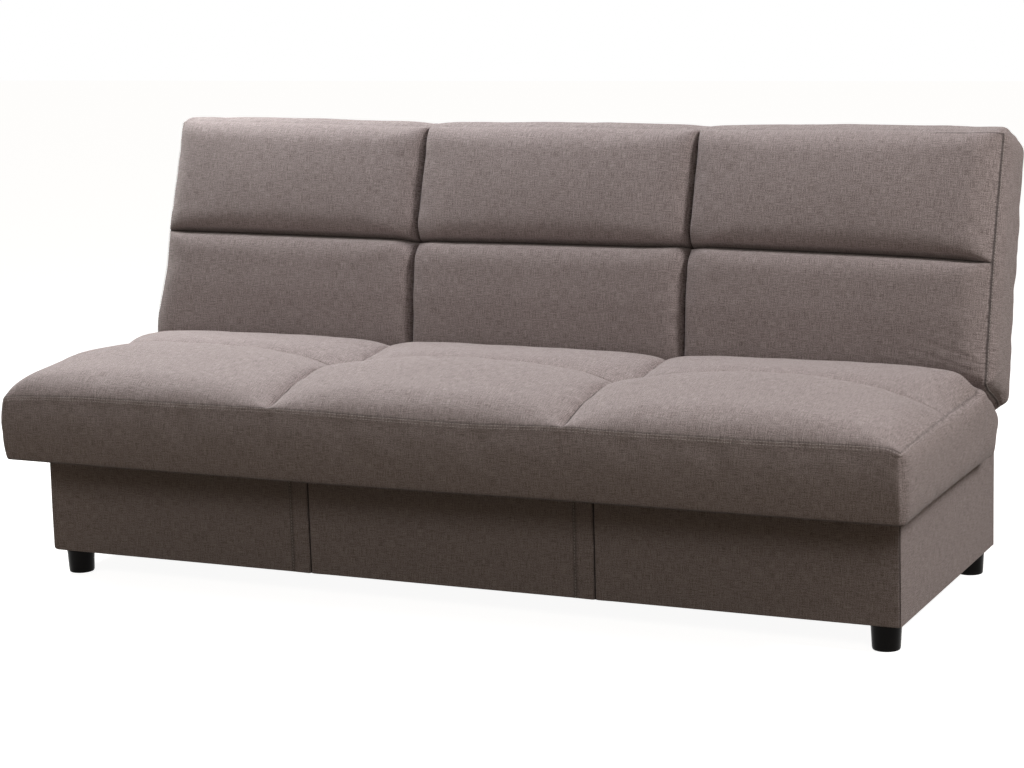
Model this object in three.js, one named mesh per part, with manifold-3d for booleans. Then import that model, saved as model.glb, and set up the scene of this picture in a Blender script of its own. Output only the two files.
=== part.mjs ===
// Click clack sofa bed: storage box, lift frame, swing links, seat and reclining backrest.
// Millimetres, X to the right seen from the front, Y to the back, Z up.
import * as THREE from 'three';
import Module from 'manifold-3d';
import { mergeVertices } from 'three/addons/utils/BufferGeometryUtils.js';

const wasm = await Module();
wasm.setup();

// Driving dimensions of the whole sofa
const SEAT_W = 1900;
const BACK_SIDE_INSET = 4;
const BOX_SIDE_INSET = 26.5;
const BOX_D = 654;
const BOX_H = 214;
const LEG_H = 51;
const LEAN = 16.4;
const FIT = 0.3;
const OVERRUN = 40;

// Base box: boards, blocks, cleats, cover
const BOARD_T = 16;
const FLOOR_T = 5;
const COVER_T = 3.2;
const BLOCK_SIDE = 45;
const BLOCK_DROP = 44;
const CLEAT_H = 22;
const CLEAT_D = 25;
const CLEAT_INSET = 55;
const BOX_CORNER_R = 8;
const PLACKET_W = 43;
const PLACKET_T = 2.5;
const PLACKET_BEVEL = 2;
const LEFT_PLACKET_INSET = 597;
const RIGHT_PLACKET_INSET = 626.5;
const LEG_R = 28;
const LEG_FOOT_R = 25;
const LEG_CHAMFER = 2;
const LEG_INSET_X = 38;
const LEG_FRONT_Y = 35;
const LEG_REAR_INSET = 42;

// Rear hinges of the lift frame
const HINGE_OUT = 8;
const HINGE_DROP = 5;
const HINGE_INSET = 240;
const HINGE_W = 60;
const KNUCKLE_R = 6.5;
const KNUCKLE_W = 18;
const PIN_R = 3;
const LEAF_T = 2.5;
const LEAF_H = 46;
const STRAP_LEN = 48;

// Lift frame and brackets
const ANGLE_LEG = 25;
const ANGLE_T = 3;
const FRAME_FRONT_GAP = 4.2;
const FRAME_REAR_GAP = 3;
const BRACKET_T = 4;
const BRACKET_R = 22;
const BRACKET_TOP_W = 90;

// Links, hub and arms
const HUB_REAR_INSET = 74;
const HUB_RISE = 46;
const LINK_LEN = 167;
const LINK_LEAN = 36.8;
const LINK_T = 6;
const LINK_R = 15;
const BOLT_R = 5;
const BOLT_HEAD_R = 9;
const BOLT_HEAD_T = 5;
const PLATE_GAP = 1.2;
const BACK_ARM_T = 6;
const BACK_ARM_W = 30;
const BACK_ARM_LEN = 330;
const RATCHET_R = 31;
const NOTCH_DEPTH = 7;
const NOTCH_W = 9;
const RECLINE_ANGLE = 73.6;
const SEAT_ARM_T = 5;
const SEAT_ARM_W = 34;
const SEAT_ARM_LEN = 190;
const PAWL_REACH = 70.7;
const PAWL_HALF = 4;
const PAWL_EYE_R = 8;
const PAWL_PIN_R = 3;
const PAWL_CLEAR = 1.5;
const PAWL_TOOTH_W = 7;
const PAWL_TOOTH_H = 5.5;
const PAWL_SWING = 8;
const PAWL_THROAT = Math.PI / 6;

// Seat frame and cushion
const SEAT_FRONT_OVER = 107;
const SEAT_BORDER_H = 138;
const SEAT_DOME = 38;
const SEAT_CROWN = 24;
const SEAT_REAR_PANEL_D = 215;
const SEAT_TOP_END = 140;
const SEAT_TIP_OUT = 16;
const SEAT_TIP_RISE = 22;
const SEAT_TUCK = 34;
const SEAT_SIDE_ROUND = 95;
const SEAT_CORNER_ROUND = 34;
const SEAT_FRONT_ROUND = 120;
const SEAT_REAR_ROUND = 30;
const SEAT_REAR_EASE = 12;
const BORDER_BULGE = 5.5;
const HEM_TUCK = 4;
const RAIL_T = 25;
const RAIL_H = 70;
const RAIL_GAP = 3.3;
const SEAT_SKIN = 20;
const RAIL_SIDE_GAP = 0.7;
const SIDE_RAIL_INSET = 32;
const CROSS_RAIL_INSET = 40;
const SLAT_H = 32;
const WEB_T = 2.5;
const WEB_STRAP = 50;
const DUST_T = 1.6;
const FOAM_GAP = 1.5;
const SEAT_FACE_SKIN = 36;
const SEAT_CAVITY_BEVEL = 45;
const CAVITY_CLEAR = 3.9;
const POCKET_CLEAR = 3;
const POCKET_INSET = 92;

// Backrest frame and cushion
const BACK_TOP_S = 575;
const BACK_LOW_S = 80;
const BACK_SEAM_S = 321;
const BACK_REAR_T = 40;
const BACK_CROWN = 26;
const BACK_DOME = 12;
const BACK_SIDE_ROUND = 60;
const BACK_CORNER_ROUND = 26;
const BACK_END_ROUND = 40;
const BACK_END_EASE = 8;
const BACK_FOOT = 47;
const BACK_FOOT_T = 13;
const BACK_HEEL = 13;
const BACK_HEAD = 19;
const BACK_HEAD_HEM = 15;
const BACK_FOOT_HEM = 18;
const BACK_SKIN = 20;
const BACK_FACE_SKIN = 25;
const BACK_FRAME_FRONT_T = -45;
const BACK_FRAME_REAR_T = 36.4;
const BACK_FRAME_LOW_DROP = 5;
const BACK_FRAME_TOP_DROP = 13;
const BACK_CAVITY_BEVEL = 28;
const BACK_PANEL_T = 3;

// Places that follow from those sizes
const BACK_W = SEAT_W - 2 * BACK_SIDE_INSET;
const BOX_W = SEAT_W - 2 * BOX_SIDE_INSET;
const RIM_Z = LEG_H + BOX_H;
const HUB_Y = BOX_D - HUB_REAR_INSET;
const HUB_Z = RIM_Z + HUB_RISE;
const BOARD_X = BOX_W / 2 - COVER_T - FIT;
const BOARD_IN_X = BOARD_X - BOARD_T;
const BOARD_Y0 = COVER_T + FIT;
const BOARD_Y1 = BOX_D - COVER_T - FIT;
const INNER_Y0 = BOARD_Y0 + BOARD_T + FIT;
const INNER_Y1 = BOARD_Y1 - BOARD_T - FIT;
const FLOOR_TOP_Z = LEG_H + FLOOR_T;
const HINGE_Y = BOX_D + HINGE_OUT;
const HINGE_Z = RIM_Z - HINGE_DROP;
const FRAME_BOTTOM_Z = RIM_Z - ANGLE_LEG;
const FRAME_FRONT_Y = INNER_Y0 + FRAME_FRONT_GAP;
const SEAT_RAIL_X = SEAT_W / 2 - SEAT_SKIN - RAIL_SIDE_GAP - RAIL_T;
const SEAT_ARM_X = SEAT_RAIL_X - FIT - SEAT_ARM_T;
const BACK_ARM_X = SEAT_ARM_X - PLATE_GAP - BACK_ARM_T;
const LINK_X = BACK_ARM_X - PLATE_GAP - LINK_T;
const BRACKET_X = LINK_X - FIT - BRACKET_T;
const FRAME_X = BRACKET_X - FIT;
const HINGE_X = FRAME_X - HINGE_INSET;
const BACK_RAIL_X = BACK_ARM_X + BACK_ARM_T + FIT;
const POCKET_IN_X = LINK_X - BOLT_HEAD_T - POCKET_CLEAR;
const POCKET_OUT_X = SEAT_ARM_X + SEAT_ARM_T + BOLT_HEAD_T + POCKET_CLEAR;
const POCKET_Y = HUB_Y - POCKET_INSET;
const SEAT_INNER_X = POCKET_IN_X - FIT - RAIL_T / 2;
const SEAT_FRONT_Y = -SEAT_FRONT_OVER;
const SEAT_REAR_Y = HUB_Y - SEAT_TOP_END;
const SEAT_SEAM_Y = SEAT_REAR_Y - SEAT_REAR_PANEL_D;
const SEAT_RAIL_REAR_Y = HUB_Y - SIDE_RAIL_INSET;
const SEAT_CROSS_REAR_Y = HUB_Y - CROSS_RAIL_INSET;
const SEAT_HEM_Z = RIM_Z + RAIL_GAP / 2;
const SEAT_SEAM_Z = RIM_Z + SEAT_BORDER_H;
const SEAT_TOP_Z = SEAT_SEAM_Z + SEAT_DOME;
const SEAT_BASE_Z = RIM_Z + RAIL_GAP;
const SEAT_WEB_Z = SEAT_BASE_Z + RAIL_H + FIT;
const SEAT_CAVITY_Z = SEAT_TOP_Z - SEAT_FACE_SKIN;
const SEAT_REAR_CAVITY_Z = SEAT_WEB_Z + WEB_T + CAVITY_CLEAR;
const BACK_FACE_T = HUB_Z - SEAT_TOP_Z;
const BACK_CAVITY_T = BACK_FACE_T + BACK_FACE_SKIN;
const BACK_FRAME_LOW_S = BACK_LOW_S - BACK_FRAME_LOW_DROP;
const BACK_FRAME_TOP_S = BACK_TOP_S - BACK_FRAME_TOP_DROP;
const PIVOT_Y = HUB_Y - LINK_LEN * Math.sin(THREE.MathUtils.degToRad(LINK_LEAN));
const PIVOT_Z = HUB_Z - LINK_LEN * Math.cos(THREE.MathUtils.degToRad(LINK_LEAN));
const PAWL_Y = HUB_Y - PAWL_REACH;
const PAWL_OFFSET = RATCHET_R + PAWL_CLEAR + PAWL_HALF;
const NOTCH_ANGLE = Math.PI + Math.acos(PAWL_OFFSET / PAWL_REACH);

// Finishes: colour, roughness, metalness
const FINISHES = {
  fabric: [0x93897c, 0.95, 0],
  lining: [0x2b2a29, 0.95, 0],
  foam: [0xe6dcb4, 0.9, 0],
  timber: [0xc9a878, 0.75, 0],
  board: [0xa88662, 0.8, 0],
  webbing: [0x3b3b3d, 0.9, 0],
  steel: [0x34363a, 0.5, 0.6],
  zinc: [0xb9bcc0, 0.35, 0.9],
  plastic: [0x141414, 0.35, 0],
};

const sofa = new THREE.Group();
const backFrame = new THREE.Group();
backFrame.position.set(0, HUB_Y, HUB_Z);
backFrame.rotation.x = -THREE.MathUtils.degToRad(LEAN);
sofa.add(backFrame);

function addPiece(name, finish, geometry, group = sofa) {
  const [color, roughness, metalness] = FINISHES[finish];
  const material = new THREE.MeshStandardMaterial({ color, roughness, metalness });
  const mesh = new THREE.Mesh(geometry, material);
  mesh.name = name;
  group.add(mesh);
}

// Solid helpers
function toSolid(geometry) {
  const bare = geometry.clone();
  bare.deleteAttribute('normal');
  bare.deleteAttribute('uv');
  const merged = mergeVertices(bare);
  const vertProperties = new Float32Array(merged.attributes.position.array);
  const triVerts = new Uint32Array(merged.index.array);
  return new wasm.Manifold(new wasm.Mesh({ numProp: 3, vertProperties, triVerts }));
}

function toGeometry(solid) {
  const { vertProperties, triVerts } = solid.getMesh();
  const geometry = new THREE.BufferGeometry();
  geometry.setAttribute('position', new THREE.BufferAttribute(new Float32Array(vertProperties), 3));
  geometry.setIndex(new THREE.BufferAttribute(new Uint32Array(triVerts), 1));
  geometry.computeVertexNormals();
  return geometry;
}

function joined(...geometries) {
  const solids = geometries.map(toSolid);
  return toGeometry(solids.reduce((sum, solid) => sum.add(solid)));
}

function cutFrom(geometry, ...tools) {
  let solid = toSolid(geometry);
  for (const tool of tools) solid = solid.subtract(toSolid(tool));
  return toGeometry(solid);
}

// A block between two corners
function block([x0, x1], [y0, y1], [z0, z1]) {
  const geometry = new THREE.BoxGeometry(x1 - x0, y1 - y0, z1 - z0);
  return geometry.translate((x0 + x1) / 2, (y0 + y1) / 2, (z0 + z1) / 2);
}

// A range along X on the right (side 1) or mirrored to the left (side -1)
function onSide(side, low, high) {
  return side > 0 ? [low, high] : [-high, -low];
}

// A closed outline in the Y-Z plane, drawn from points or a path, swept along X
function sweptAcross(shape, [x0, x1], curveSegments = 8) {
  const options = { depth: x1 - x0, bevelEnabled: false, curveSegments };
  const geometry = new THREE.ExtrudeGeometry(shape, options);
  const axes = new THREE.Matrix4().makeBasis(
    new THREE.Vector3(0, 1, 0), new THREE.Vector3(0, 0, 1), new THREE.Vector3(1, 0, 0));
  return geometry.applyMatrix4(axes).translate(x0, 0, 0);
}

function outline(points) {
  return new THREE.Shape(points.map(([u, v]) => new THREE.Vector2(u, v)));
}

function disc(u, v, radius) {
  const shape = new THREE.Shape();
  shape.absarc(u, v, radius, 0, 2 * Math.PI, false);
  return shape;
}

function roundHole(u, v, radius) {
  const hole = new THREE.Path();
  hole.absarc(u, v, radius, 0, 2 * Math.PI, true);
  return hole;
}

// A round bar along X, its section given as [x, radius] pairs from one end to the other
function turnedAcross(section, y, z, segments = 16) {
  const points = section.map(([x, radius]) => new THREE.Vector2(radius, x));
  const ends = [new THREE.Vector2(0, section[0][0]), new THREE.Vector2(0, section[section.length - 1][0])];
  const geometry = new THREE.LatheGeometry([ends[0], ...points, ends[1]], segments);
  return geometry.rotateZ(-Math.PI / 2).translate(0, y, z);
}

// A flat bar with round ends between two points of the Y-Z plane
function roundBar([y0, z0], [y1, z1], radius) {
  const angle = Math.atan2(z1 - z0, y1 - y0);
  const quarter = Math.PI / 2;
  const shape = new THREE.Shape();
  shape.absarc(y1, z1, radius, angle - quarter, angle + quarter, false);
  shape.absarc(y0, z0, radius, angle + quarter, angle + 3 * quarter, false);
  return shape;
}

// A bolt along X through plates, with its head inside and its nut outside
function crossBolt(side, [inner, outer], y, z) {
  const section = [
    [inner - BOLT_HEAD_T, BOLT_HEAD_R], [inner - FIT, BOLT_HEAD_R], [inner - FIT, BOLT_R],
    [outer + FIT, BOLT_R], [outer + FIT, BOLT_HEAD_R], [outer + BOLT_HEAD_T, BOLT_HEAD_R],
  ];
  const placed = side > 0 ? section : section.map(([x, r]) => [-x, r]).reverse();
  return turnedAcross(placed, y, z);
}

// Base box
function addBaseBoards() {
  addPiece('box_floor_panel', 'board',
    block([-BOARD_X, BOARD_X], [BOARD_Y0, BOARD_Y1], [LEG_H, FLOOR_TOP_Z]));
  const height = [FLOOR_TOP_Z + FIT, RIM_Z];
  addPiece('box_front_board', 'board',
    block([-BOARD_X, BOARD_X], [BOARD_Y0, BOARD_Y0 + BOARD_T], height));
  addPiece('box_rear_board', 'board',
    block([-BOARD_X, BOARD_X], [BOARD_Y1 - BOARD_T, BOARD_Y1], height));
  for (const [name, side] of [['left', -1], ['right', 1]]) {
    addPiece(`box_${name}_board`, 'board',
      block(onSide(side, BOARD_IN_X, BOARD_X), [INNER_Y0, INNER_Y1], height));
  }
  const cleatX = [-(FRAME_X - CLEAT_INSET), FRAME_X - CLEAT_INSET];
  const cleatTop = FRAME_BOTTOM_Z - FIT;
  addPiece('box_front_cleat', 'timber',
    block(cleatX, [INNER_Y0, INNER_Y0 + CLEAT_D], [cleatTop - CLEAT_H, cleatTop]));
  addPiece('box_rear_cleat', 'timber',
    block(cleatX, [INNER_Y1 - CLEAT_D, INNER_Y1], [cleatTop - CLEAT_H, cleatTop]));
}

function addCornerPosts() {
  const edge = BOARD_IN_X - FIT;
  const places = [
    ['front_left', -1, [INNER_Y0, INNER_Y0 + BLOCK_SIDE], LEG_FRONT_Y],
    ['front_right', 1, [INNER_Y0, INNER_Y0 + BLOCK_SIDE], LEG_FRONT_Y],
    ['rear_left', -1, [INNER_Y1 - BLOCK_SIDE, INNER_Y1], BOX_D - LEG_REAR_INSET],
    ['rear_right', 1, [INNER_Y1 - BLOCK_SIDE, INNER_Y1], BOX_D - LEG_REAR_INSET],
  ];
  for (const [name, side, depth, legY] of places) {
    addPiece(`corner_block_${name}`, 'timber',
      block(onSide(side, edge - BLOCK_SIDE, edge), depth, [FLOOR_TOP_Z + FIT, FRAME_BOTTOM_Z - BLOCK_DROP]));
    const top = LEG_H - FIT;
    const section = [
      [0, 0], [LEG_FOOT_R - LEG_CHAMFER, 0], [LEG_FOOT_R, LEG_CHAMFER],
      [LEG_R, top - LEG_CHAMFER], [LEG_R - LEG_CHAMFER, top], [0, top],
    ];
    const leg = new THREE.LatheGeometry(section.map(([r, z]) => new THREE.Vector2(r, z)), 24);
    leg.rotateX(Math.PI / 2).translate(side * (BOX_W / 2 - LEG_INSET_X), legY, 0);
    addPiece(`leg_${name}`, 'plastic', leg);
  }
}

// Front and side cover in one strip, with two stitched plackets on its front
function addBoxCovers() {
  const outer = BOX_W / 2;
  const inner = outer - COVER_T;
  const sideEnd = BOARD_Y1;
  const shape = new THREE.Shape();
  shape.moveTo(-outer, sideEnd);
  shape.absarc(-outer + BOX_CORNER_R, BOX_CORNER_R, BOX_CORNER_R, Math.PI, 1.5 * Math.PI, false);
  for (const x of [LEFT_PLACKET_INSET - outer, outer - RIGHT_PLACKET_INSET]) {
    const half = PLACKET_W / 2;
    shape.lineTo(x - half, 0);
    shape.lineTo(x - half + PLACKET_BEVEL, -PLACKET_T);
    shape.lineTo(x + half - PLACKET_BEVEL, -PLACKET_T);
    shape.lineTo(x + half, 0);
  }
  shape.absarc(outer - BOX_CORNER_R, BOX_CORNER_R, BOX_CORNER_R, 1.5 * Math.PI, 2 * Math.PI, false);
  shape.lineTo(outer, sideEnd);
  shape.lineTo(inner, sideEnd);
  shape.lineTo(inner, COVER_T);
  shape.lineTo(-inner, COVER_T);
  shape.lineTo(-inner, sideEnd);
  const strip = new THREE.ExtrudeGeometry(shape, { depth: BOX_H, bevelEnabled: false, curveSegments: 5 });
  addPiece('box_cover', 'fabric', strip.translate(0, 0, LEG_H));
  addPiece('box_rear_cover', 'fabric',
    block([-outer, outer], [BOARD_Y1 + FIT, BOX_D], [LEG_H, RIM_Z]));
}

// Rear hinges: a leaf on the box, a strap on the lift frame, a pin through both
function addHinges() {
  const bore = PIN_R + FIT;
  for (const [name, side] of [['left', -1], ['right', 1]]) {
    const middle = side * HINGE_X;
    const half = HINGE_W / 2;
    const knuckle = (x0, x1) => sweptAcross(disc(HINGE_Y, HINGE_Z, KNUCKLE_R), [x0, x1]);
    const drill = sweptAcross(disc(HINGE_Y, HINGE_Z, bore),
      [middle - half - OVERRUN, middle + half + OVERRUN]);
    const plate = block([middle - half, middle + half],
      [BOX_D + FIT, BOX_D + FIT + LEAF_T], [HINGE_Z - LEAF_H, HINGE_Z]);
    const gap = block([middle - half + KNUCKLE_W, middle + half - KNUCKLE_W],
      [BOX_D, HINGE_Y + OVERRUN], [HINGE_Z - KNUCKLE_R - FIT, HINGE_Z + OVERRUN]);
    const leaf = joined(plate, knuckle(middle - half, middle - half + KNUCKLE_W),
      knuckle(middle + half - KNUCKLE_W, middle + half));
    addPiece(`hinge_leaf_${name}`, 'zinc', cutFrom(leaf, gap, drill));
    addPiece(`hinge_pin_${name}`, 'zinc',
      turnedAcross([[middle - half, PIN_R], [middle + half, PIN_R]], HINGE_Y, HINGE_Z, 12));
    const strapHalf = half - KNUCKLE_W - FIT;
    const across = [middle - strapHalf, middle + strapHalf];
    const strap = joined(block(across, [HINGE_Y - STRAP_LEN, HINGE_Y], [RIM_Z + FIT, RIM_Z + FIT + LEAF_T]),
      knuckle(...across));
    addPiece(`lift_strap_${name}`, 'zinc', cutFrom(strap, drill));
  }
}

// A flat rectangular ring on the floor plane
function flatRing([x0, x1, y0, y1], width, height) {
  const shape = outline([[x0, y0], [x1, y0], [x1, y1], [x0, y1]]);
  const hole = outline([[x0 + width, y0 + width], [x0 + width, y1 - width],
    [x1 - width, y1 - width], [x1 - width, y0 + width]]);
  shape.holes.push(hole);
  return new THREE.ExtrudeGeometry(shape, { depth: height, bevelEnabled: false });
}

// Welded angle frame that carries the whole top, with a pivot bracket on each side
function addLiftFrame() {
  const rear = INNER_Y1 - FRAME_REAR_GAP;
  const outer = [-FRAME_X, FRAME_X, FRAME_FRONT_Y, rear];
  const upright = flatRing(outer, ANGLE_T, ANGLE_LEG).translate(0, 0, FRAME_BOTTOM_Z);
  const shelf = flatRing(outer, ANGLE_LEG, ANGLE_T).translate(0, 0, RIM_Z - ANGLE_T);
  addPiece('lift_frame', 'steel', joined(upright, shelf));
  for (const [name, side] of [['left', -1], ['right', 1]]) {
    const half = BRACKET_TOP_W / 2;
    const shape = new THREE.Shape();
    shape.moveTo(PIVOT_Y + half, RIM_Z);
    shape.lineTo(PIVOT_Y - half, RIM_Z);
    shape.lineTo(PIVOT_Y - half, FRAME_BOTTOM_Z);
    shape.absarc(PIVOT_Y, PIVOT_Z, BRACKET_R, Math.PI, 2 * Math.PI, false);
    shape.lineTo(PIVOT_Y + half, FRAME_BOTTOM_Z);
    shape.holes.push(roundHole(PIVOT_Y, PIVOT_Z, BOLT_R + FIT));
    addPiece(`pivot_bracket_${name}`, 'steel',
      sweptAcross(shape, onSide(side, BRACKET_X, BRACKET_X + BRACKET_T)));
  }
}

function addLinks() {
  for (const [name, side] of [['left', -1], ['right', 1]]) {
    const shape = roundBar([PIVOT_Y, PIVOT_Z], [HUB_Y, HUB_Z], LINK_R);
    shape.holes.push(roundHole(PIVOT_Y, PIVOT_Z, BOLT_R + FIT));
    shape.holes.push(roundHole(HUB_Y, HUB_Z, BOLT_R + FIT));
    addPiece(`link_${name}`, 'zinc', sweptAcross(shape, onSide(side, LINK_X, LINK_X + LINK_T)));
    addPiece(`link_bolt_${name}`, 'zinc',
      crossBolt(side, [BRACKET_X, LINK_X + LINK_T], PIVOT_Y, PIVOT_Z));
  }
}

// Seat hardware: arms to the hub, hub bolts, pawls and their pins
function addSeatHardware() {
  for (const [name, side] of [['left', -1], ['right', 1]]) {
    const shape = roundBar([HUB_Y - SEAT_ARM_LEN, HUB_Z], [HUB_Y, HUB_Z], SEAT_ARM_W / 2);
    shape.holes.push(roundHole(HUB_Y, HUB_Z, BOLT_R + FIT));
    shape.holes.push(roundHole(PAWL_Y, HUB_Z, PAWL_PIN_R + FIT));
    addPiece(`seat_arm_${name}`, 'steel',
      sweptAcross(shape, onSide(side, SEAT_ARM_X, SEAT_ARM_X + SEAT_ARM_T)));
    addPiece(`hub_bolt_${name}`, 'zinc',
      crossBolt(side, [LINK_X, SEAT_ARM_X + SEAT_ARM_T], HUB_Y, HUB_Z));
    addPiece(`pawl_${name}`, 'zinc', pawl(onSide(side, BACK_ARM_X, BACK_ARM_X + BACK_ARM_T)));
    const [x0, x1] = onSide(side, BACK_ARM_X - FIT, SEAT_ARM_X + SEAT_ARM_T);
    addPiece(`pawl_pin_${name}`, 'zinc',
      turnedAcross([[x0, PAWL_PIN_R], [x1, PAWL_PIN_R]], PAWL_Y, HUB_Z, 12));
  }
}

// A toothed lever in the plane of the ratchet, hanging released below its notch
function pawl(across) {
  const foot = Math.sqrt(PAWL_REACH ** 2 - PAWL_OFFSET ** 2);
  const toothTop = PAWL_HALF + PAWL_CLEAR + PAWL_TOOTH_H;
  const half = PAWL_TOOTH_W / 2;
  const shape = new THREE.Shape();
  shape.absarc(0, 0, PAWL_EYE_R, PAWL_THROAT, 2 * Math.PI - PAWL_THROAT, false);
  shape.lineTo(foot + half, -PAWL_HALF);
  shape.lineTo(foot + half, toothTop);
  shape.lineTo(foot - half, toothTop);
  shape.lineTo(foot - half, PAWL_HALF);
  shape.holes.push(roundHole(0, 0, PAWL_PIN_R + FIT));
  const turn = NOTCH_ANGLE - 1.5 * Math.PI + THREE.MathUtils.degToRad(-PAWL_SWING);
  return sweptAcross(shape, across).rotateX(turn).translate(0, PAWL_Y, HUB_Z);
}

// Seat frame timbers
function addSeatFrame() {
  const height = [SEAT_BASE_Z, SEAT_BASE_Z + RAIL_H];
  const front = SEAT_FRONT_Y + SEAT_SKIN;
  const innerY = [front + RAIL_T + FIT, SEAT_CROSS_REAR_Y - RAIL_T - FIT];
  const sideReach = SEAT_RAIL_X - FIT;
  const rearReach = SEAT_INNER_X + RAIL_T / 2;
  addPiece('seat_front_rail', 'timber',
    block([-sideReach, sideReach], [front, front + RAIL_T], height));
  addPiece('seat_rear_rail', 'timber',
    block([-rearReach, rearReach], [SEAT_CROSS_REAR_Y - RAIL_T, SEAT_CROSS_REAR_Y], height));
  for (const [name, side] of [['left', -1], ['right', 1]]) {
    addPiece(`seat_${name}_rail`, 'timber',
      block(onSide(side, SEAT_RAIL_X, SEAT_RAIL_X + RAIL_T), [front, SEAT_RAIL_REAR_Y], height));
    addPiece(`seat_inner_rail_${name}`, 'timber',
      block(onSide(side, SEAT_INNER_X - RAIL_T / 2, SEAT_INNER_X + RAIL_T / 2), innerY, height));
  }
  addPiece('seat_centre_slat', 'timber',
    block([-RAIL_T / 2, RAIL_T / 2], innerY, [height[1] - SLAT_H, height[1]]));
  addPiece('seat_webbing', 'webbing',
    wovenStraps([-rearReach, rearReach], [front, SEAT_CROSS_REAR_Y], [10, 4])
      .translate(0, 0, SEAT_WEB_Z));
  addPiece('seat_dust_cover', 'lining',
    block([-SEAT_INNER_X, SEAT_INNER_X], [front, SEAT_CROSS_REAR_Y],
      [SEAT_BASE_Z - FIT - DUST_T, SEAT_BASE_Z - FIT]));
}

// Crossed webbing straps in one flat net: [gaps across, gaps deep]
function wovenStraps([x0, x1], [y0, y1], [across, deep]) {
  const stepX = (x1 - x0 - WEB_STRAP) / across;
  const stepY = (y1 - y0 - WEB_STRAP) / deep;
  const straps = [];
  for (let i = 0; i <= across; i += 1) {
    const left = x0 + i * stepX;
    straps.push(block([left, left + WEB_STRAP], [y0, y1], [0, WEB_T]));
  }
  for (let j = 0; j <= deep; j += 1) {
    const low = y0 + j * stepY;
    straps.push(block([x0, x1], [low, low + WEB_STRAP], [0, WEB_T]));
  }
  return joined(...straps);
}

// Upholstered forms. A ring is a closed outline [along, out]: "along" runs over the cushion's face,
// "out" is the height of the face. Rings stand side by side across the width.
const PANEL_STEP_SHARES = [0, 0.05, 0.18, 0.5, 0.82, 0.95];
const PANEL_FULL_SHARE = 0.45;
const CORNER_STEP_SHARES = [0, 0.12, 0.4, 1];
const CAP_SHARE = 0.86;
const CAP_BULGE = 8;

function quarterRound(distance, radius) {
  const near = Math.min(Math.max(distance / radius, 0), 1);
  return Math.sqrt(1 - (1 - near) ** 2);
}

// 0 on a panel's seams, 1 over its middle
function panelSwell(place, seams) {
  for (let i = 0; i + 1 < seams.length; i += 1) {
    if (place <= seams[i + 1]) {
      const share = (place - seams[i]) / (seams[i + 1] - seams[i]);
      return Math.max(0, 1 - (2 * share - 1) ** 2) ** PANEL_FULL_SHARE;
    }
  }
  return 0;
}

function stepsBetween(seams) {
  const steps = [];
  for (let i = 0; i + 1 < seams.length; i += 1) {
    for (const share of PANEL_STEP_SHARES) steps.push(seams[i] + share * (seams[i + 1] - seams[i]));
  }
  return [...steps, seams[seams.length - 1]];
}

function ringAt(form, x) {
  const fromEnd = form.half - Math.abs(x);
  const side = quarterRound(fromEnd, form.sideRound);
  const drawnIn = form.cornerRound * (1 - quarterRound(fromEnd, form.cornerRound));
  const across = panelSwell(x, form.seamsAcross);
  const ring = form.edge.map(([along, out]) => [along + drawnIn, out]);
  for (const along of stepsBetween(form.seamsAlong)) {
    const end = quarterRound(along - form.roundFrom, form.frontRound)
      * quarterRound(form.roundTo - along, form.rearRound);
    const swell = form.crown * across * panelSwell(along, form.seamsAlong) * side;
    const out = form.seamOut + (form.faceOut - form.seamOut) * side * end + swell;
    ring.push([along, out]);
  }
  return [...ring, ...form.after.map(([along, out]) => [along - drawnIn, out]), ...form.base];
}

// Rings to a closed skin; place() puts [x, along, out] into the piece's own axes
function cushionSkin(form, place) {
  const third = form.half / 3;
  const inner = stepsBetween([-form.half, -third, third, form.half])
    .filter((x) => Math.abs(x) < form.half - form.cornerRound);
  const roundSteps = CORNER_STEP_SHARES.map((share) => form.half - share * form.cornerRound);
  const stations = [...roundSteps.map((x) => -x), ...inner, ...roundSteps.reverse()];
  const shaped = { ...form, seamsAcross: [-form.half, -third, third, form.half] };
  const rings = stations.map((x) => ringAt(shaped, x).map(([along, out]) => [x, along, out]));
  const count = rings[0].length;
  const centreOf = (ring) => [0, 1, 2].map((k) => ring.reduce((sum, p) => sum + p[k], 0) / count);
  const cap = (ring, side) => {
    const centre = centreOf(ring);
    return ring.map(([x, along, out]) => [x + side * CAP_BULGE,
      centre[1] + (along - centre[1]) * CAP_SHARE, centre[2] + (out - centre[2]) * CAP_SHARE]);
  };
  rings.unshift(cap(rings[0], -1));
  rings.push(cap(rings[rings.length - 1], 1));
  const points = rings.flat();
  const last = rings.length - 1;
  points.push(centreOf(rings[0]), centreOf(rings[last]));
  const index = [];
  for (let i = 0; i < last; i += 1) {
    for (let j = 0; j < count; j += 1) {
      const next = (j + 1) % count;
      const corners = [i * count + j, (i + 1) * count + j, (i + 1) * count + next, i * count + next];
      index.push(corners[0], corners[1], corners[2], corners[0], corners[2], corners[3]);
    }
  }
  for (let j = 0; j < count; j += 1) {
    const next = (j + 1) % count;
    index.push(points.length - 2, j, next);
    index.push(points.length - 1, last * count + next, last * count + j);
  }
  const geometry = new THREE.BufferGeometry();
  const flat = points.flatMap(([x, along, out]) => place(x, along, out));
  geometry.setAttribute('position', new THREE.Float32BufferAttribute(flat, 3));
  geometry.setIndex(index);
  return geometry;
}

// Seat cover: crowned 3 by 2 top, bulging border, sloped and tucked rear end
const BORDER_SHARES = [0, 0.33, 0.66, 0.95];
const REAR_SLOPE_SHARES = [[0.33, 0.04], [0.64, 0.39], [0.85, 0.7], [1, 1]];
const REAR_TUCK_SHARES = [[0.29, 0.36], [0.68, 0.69], [1, 1]];

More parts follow.
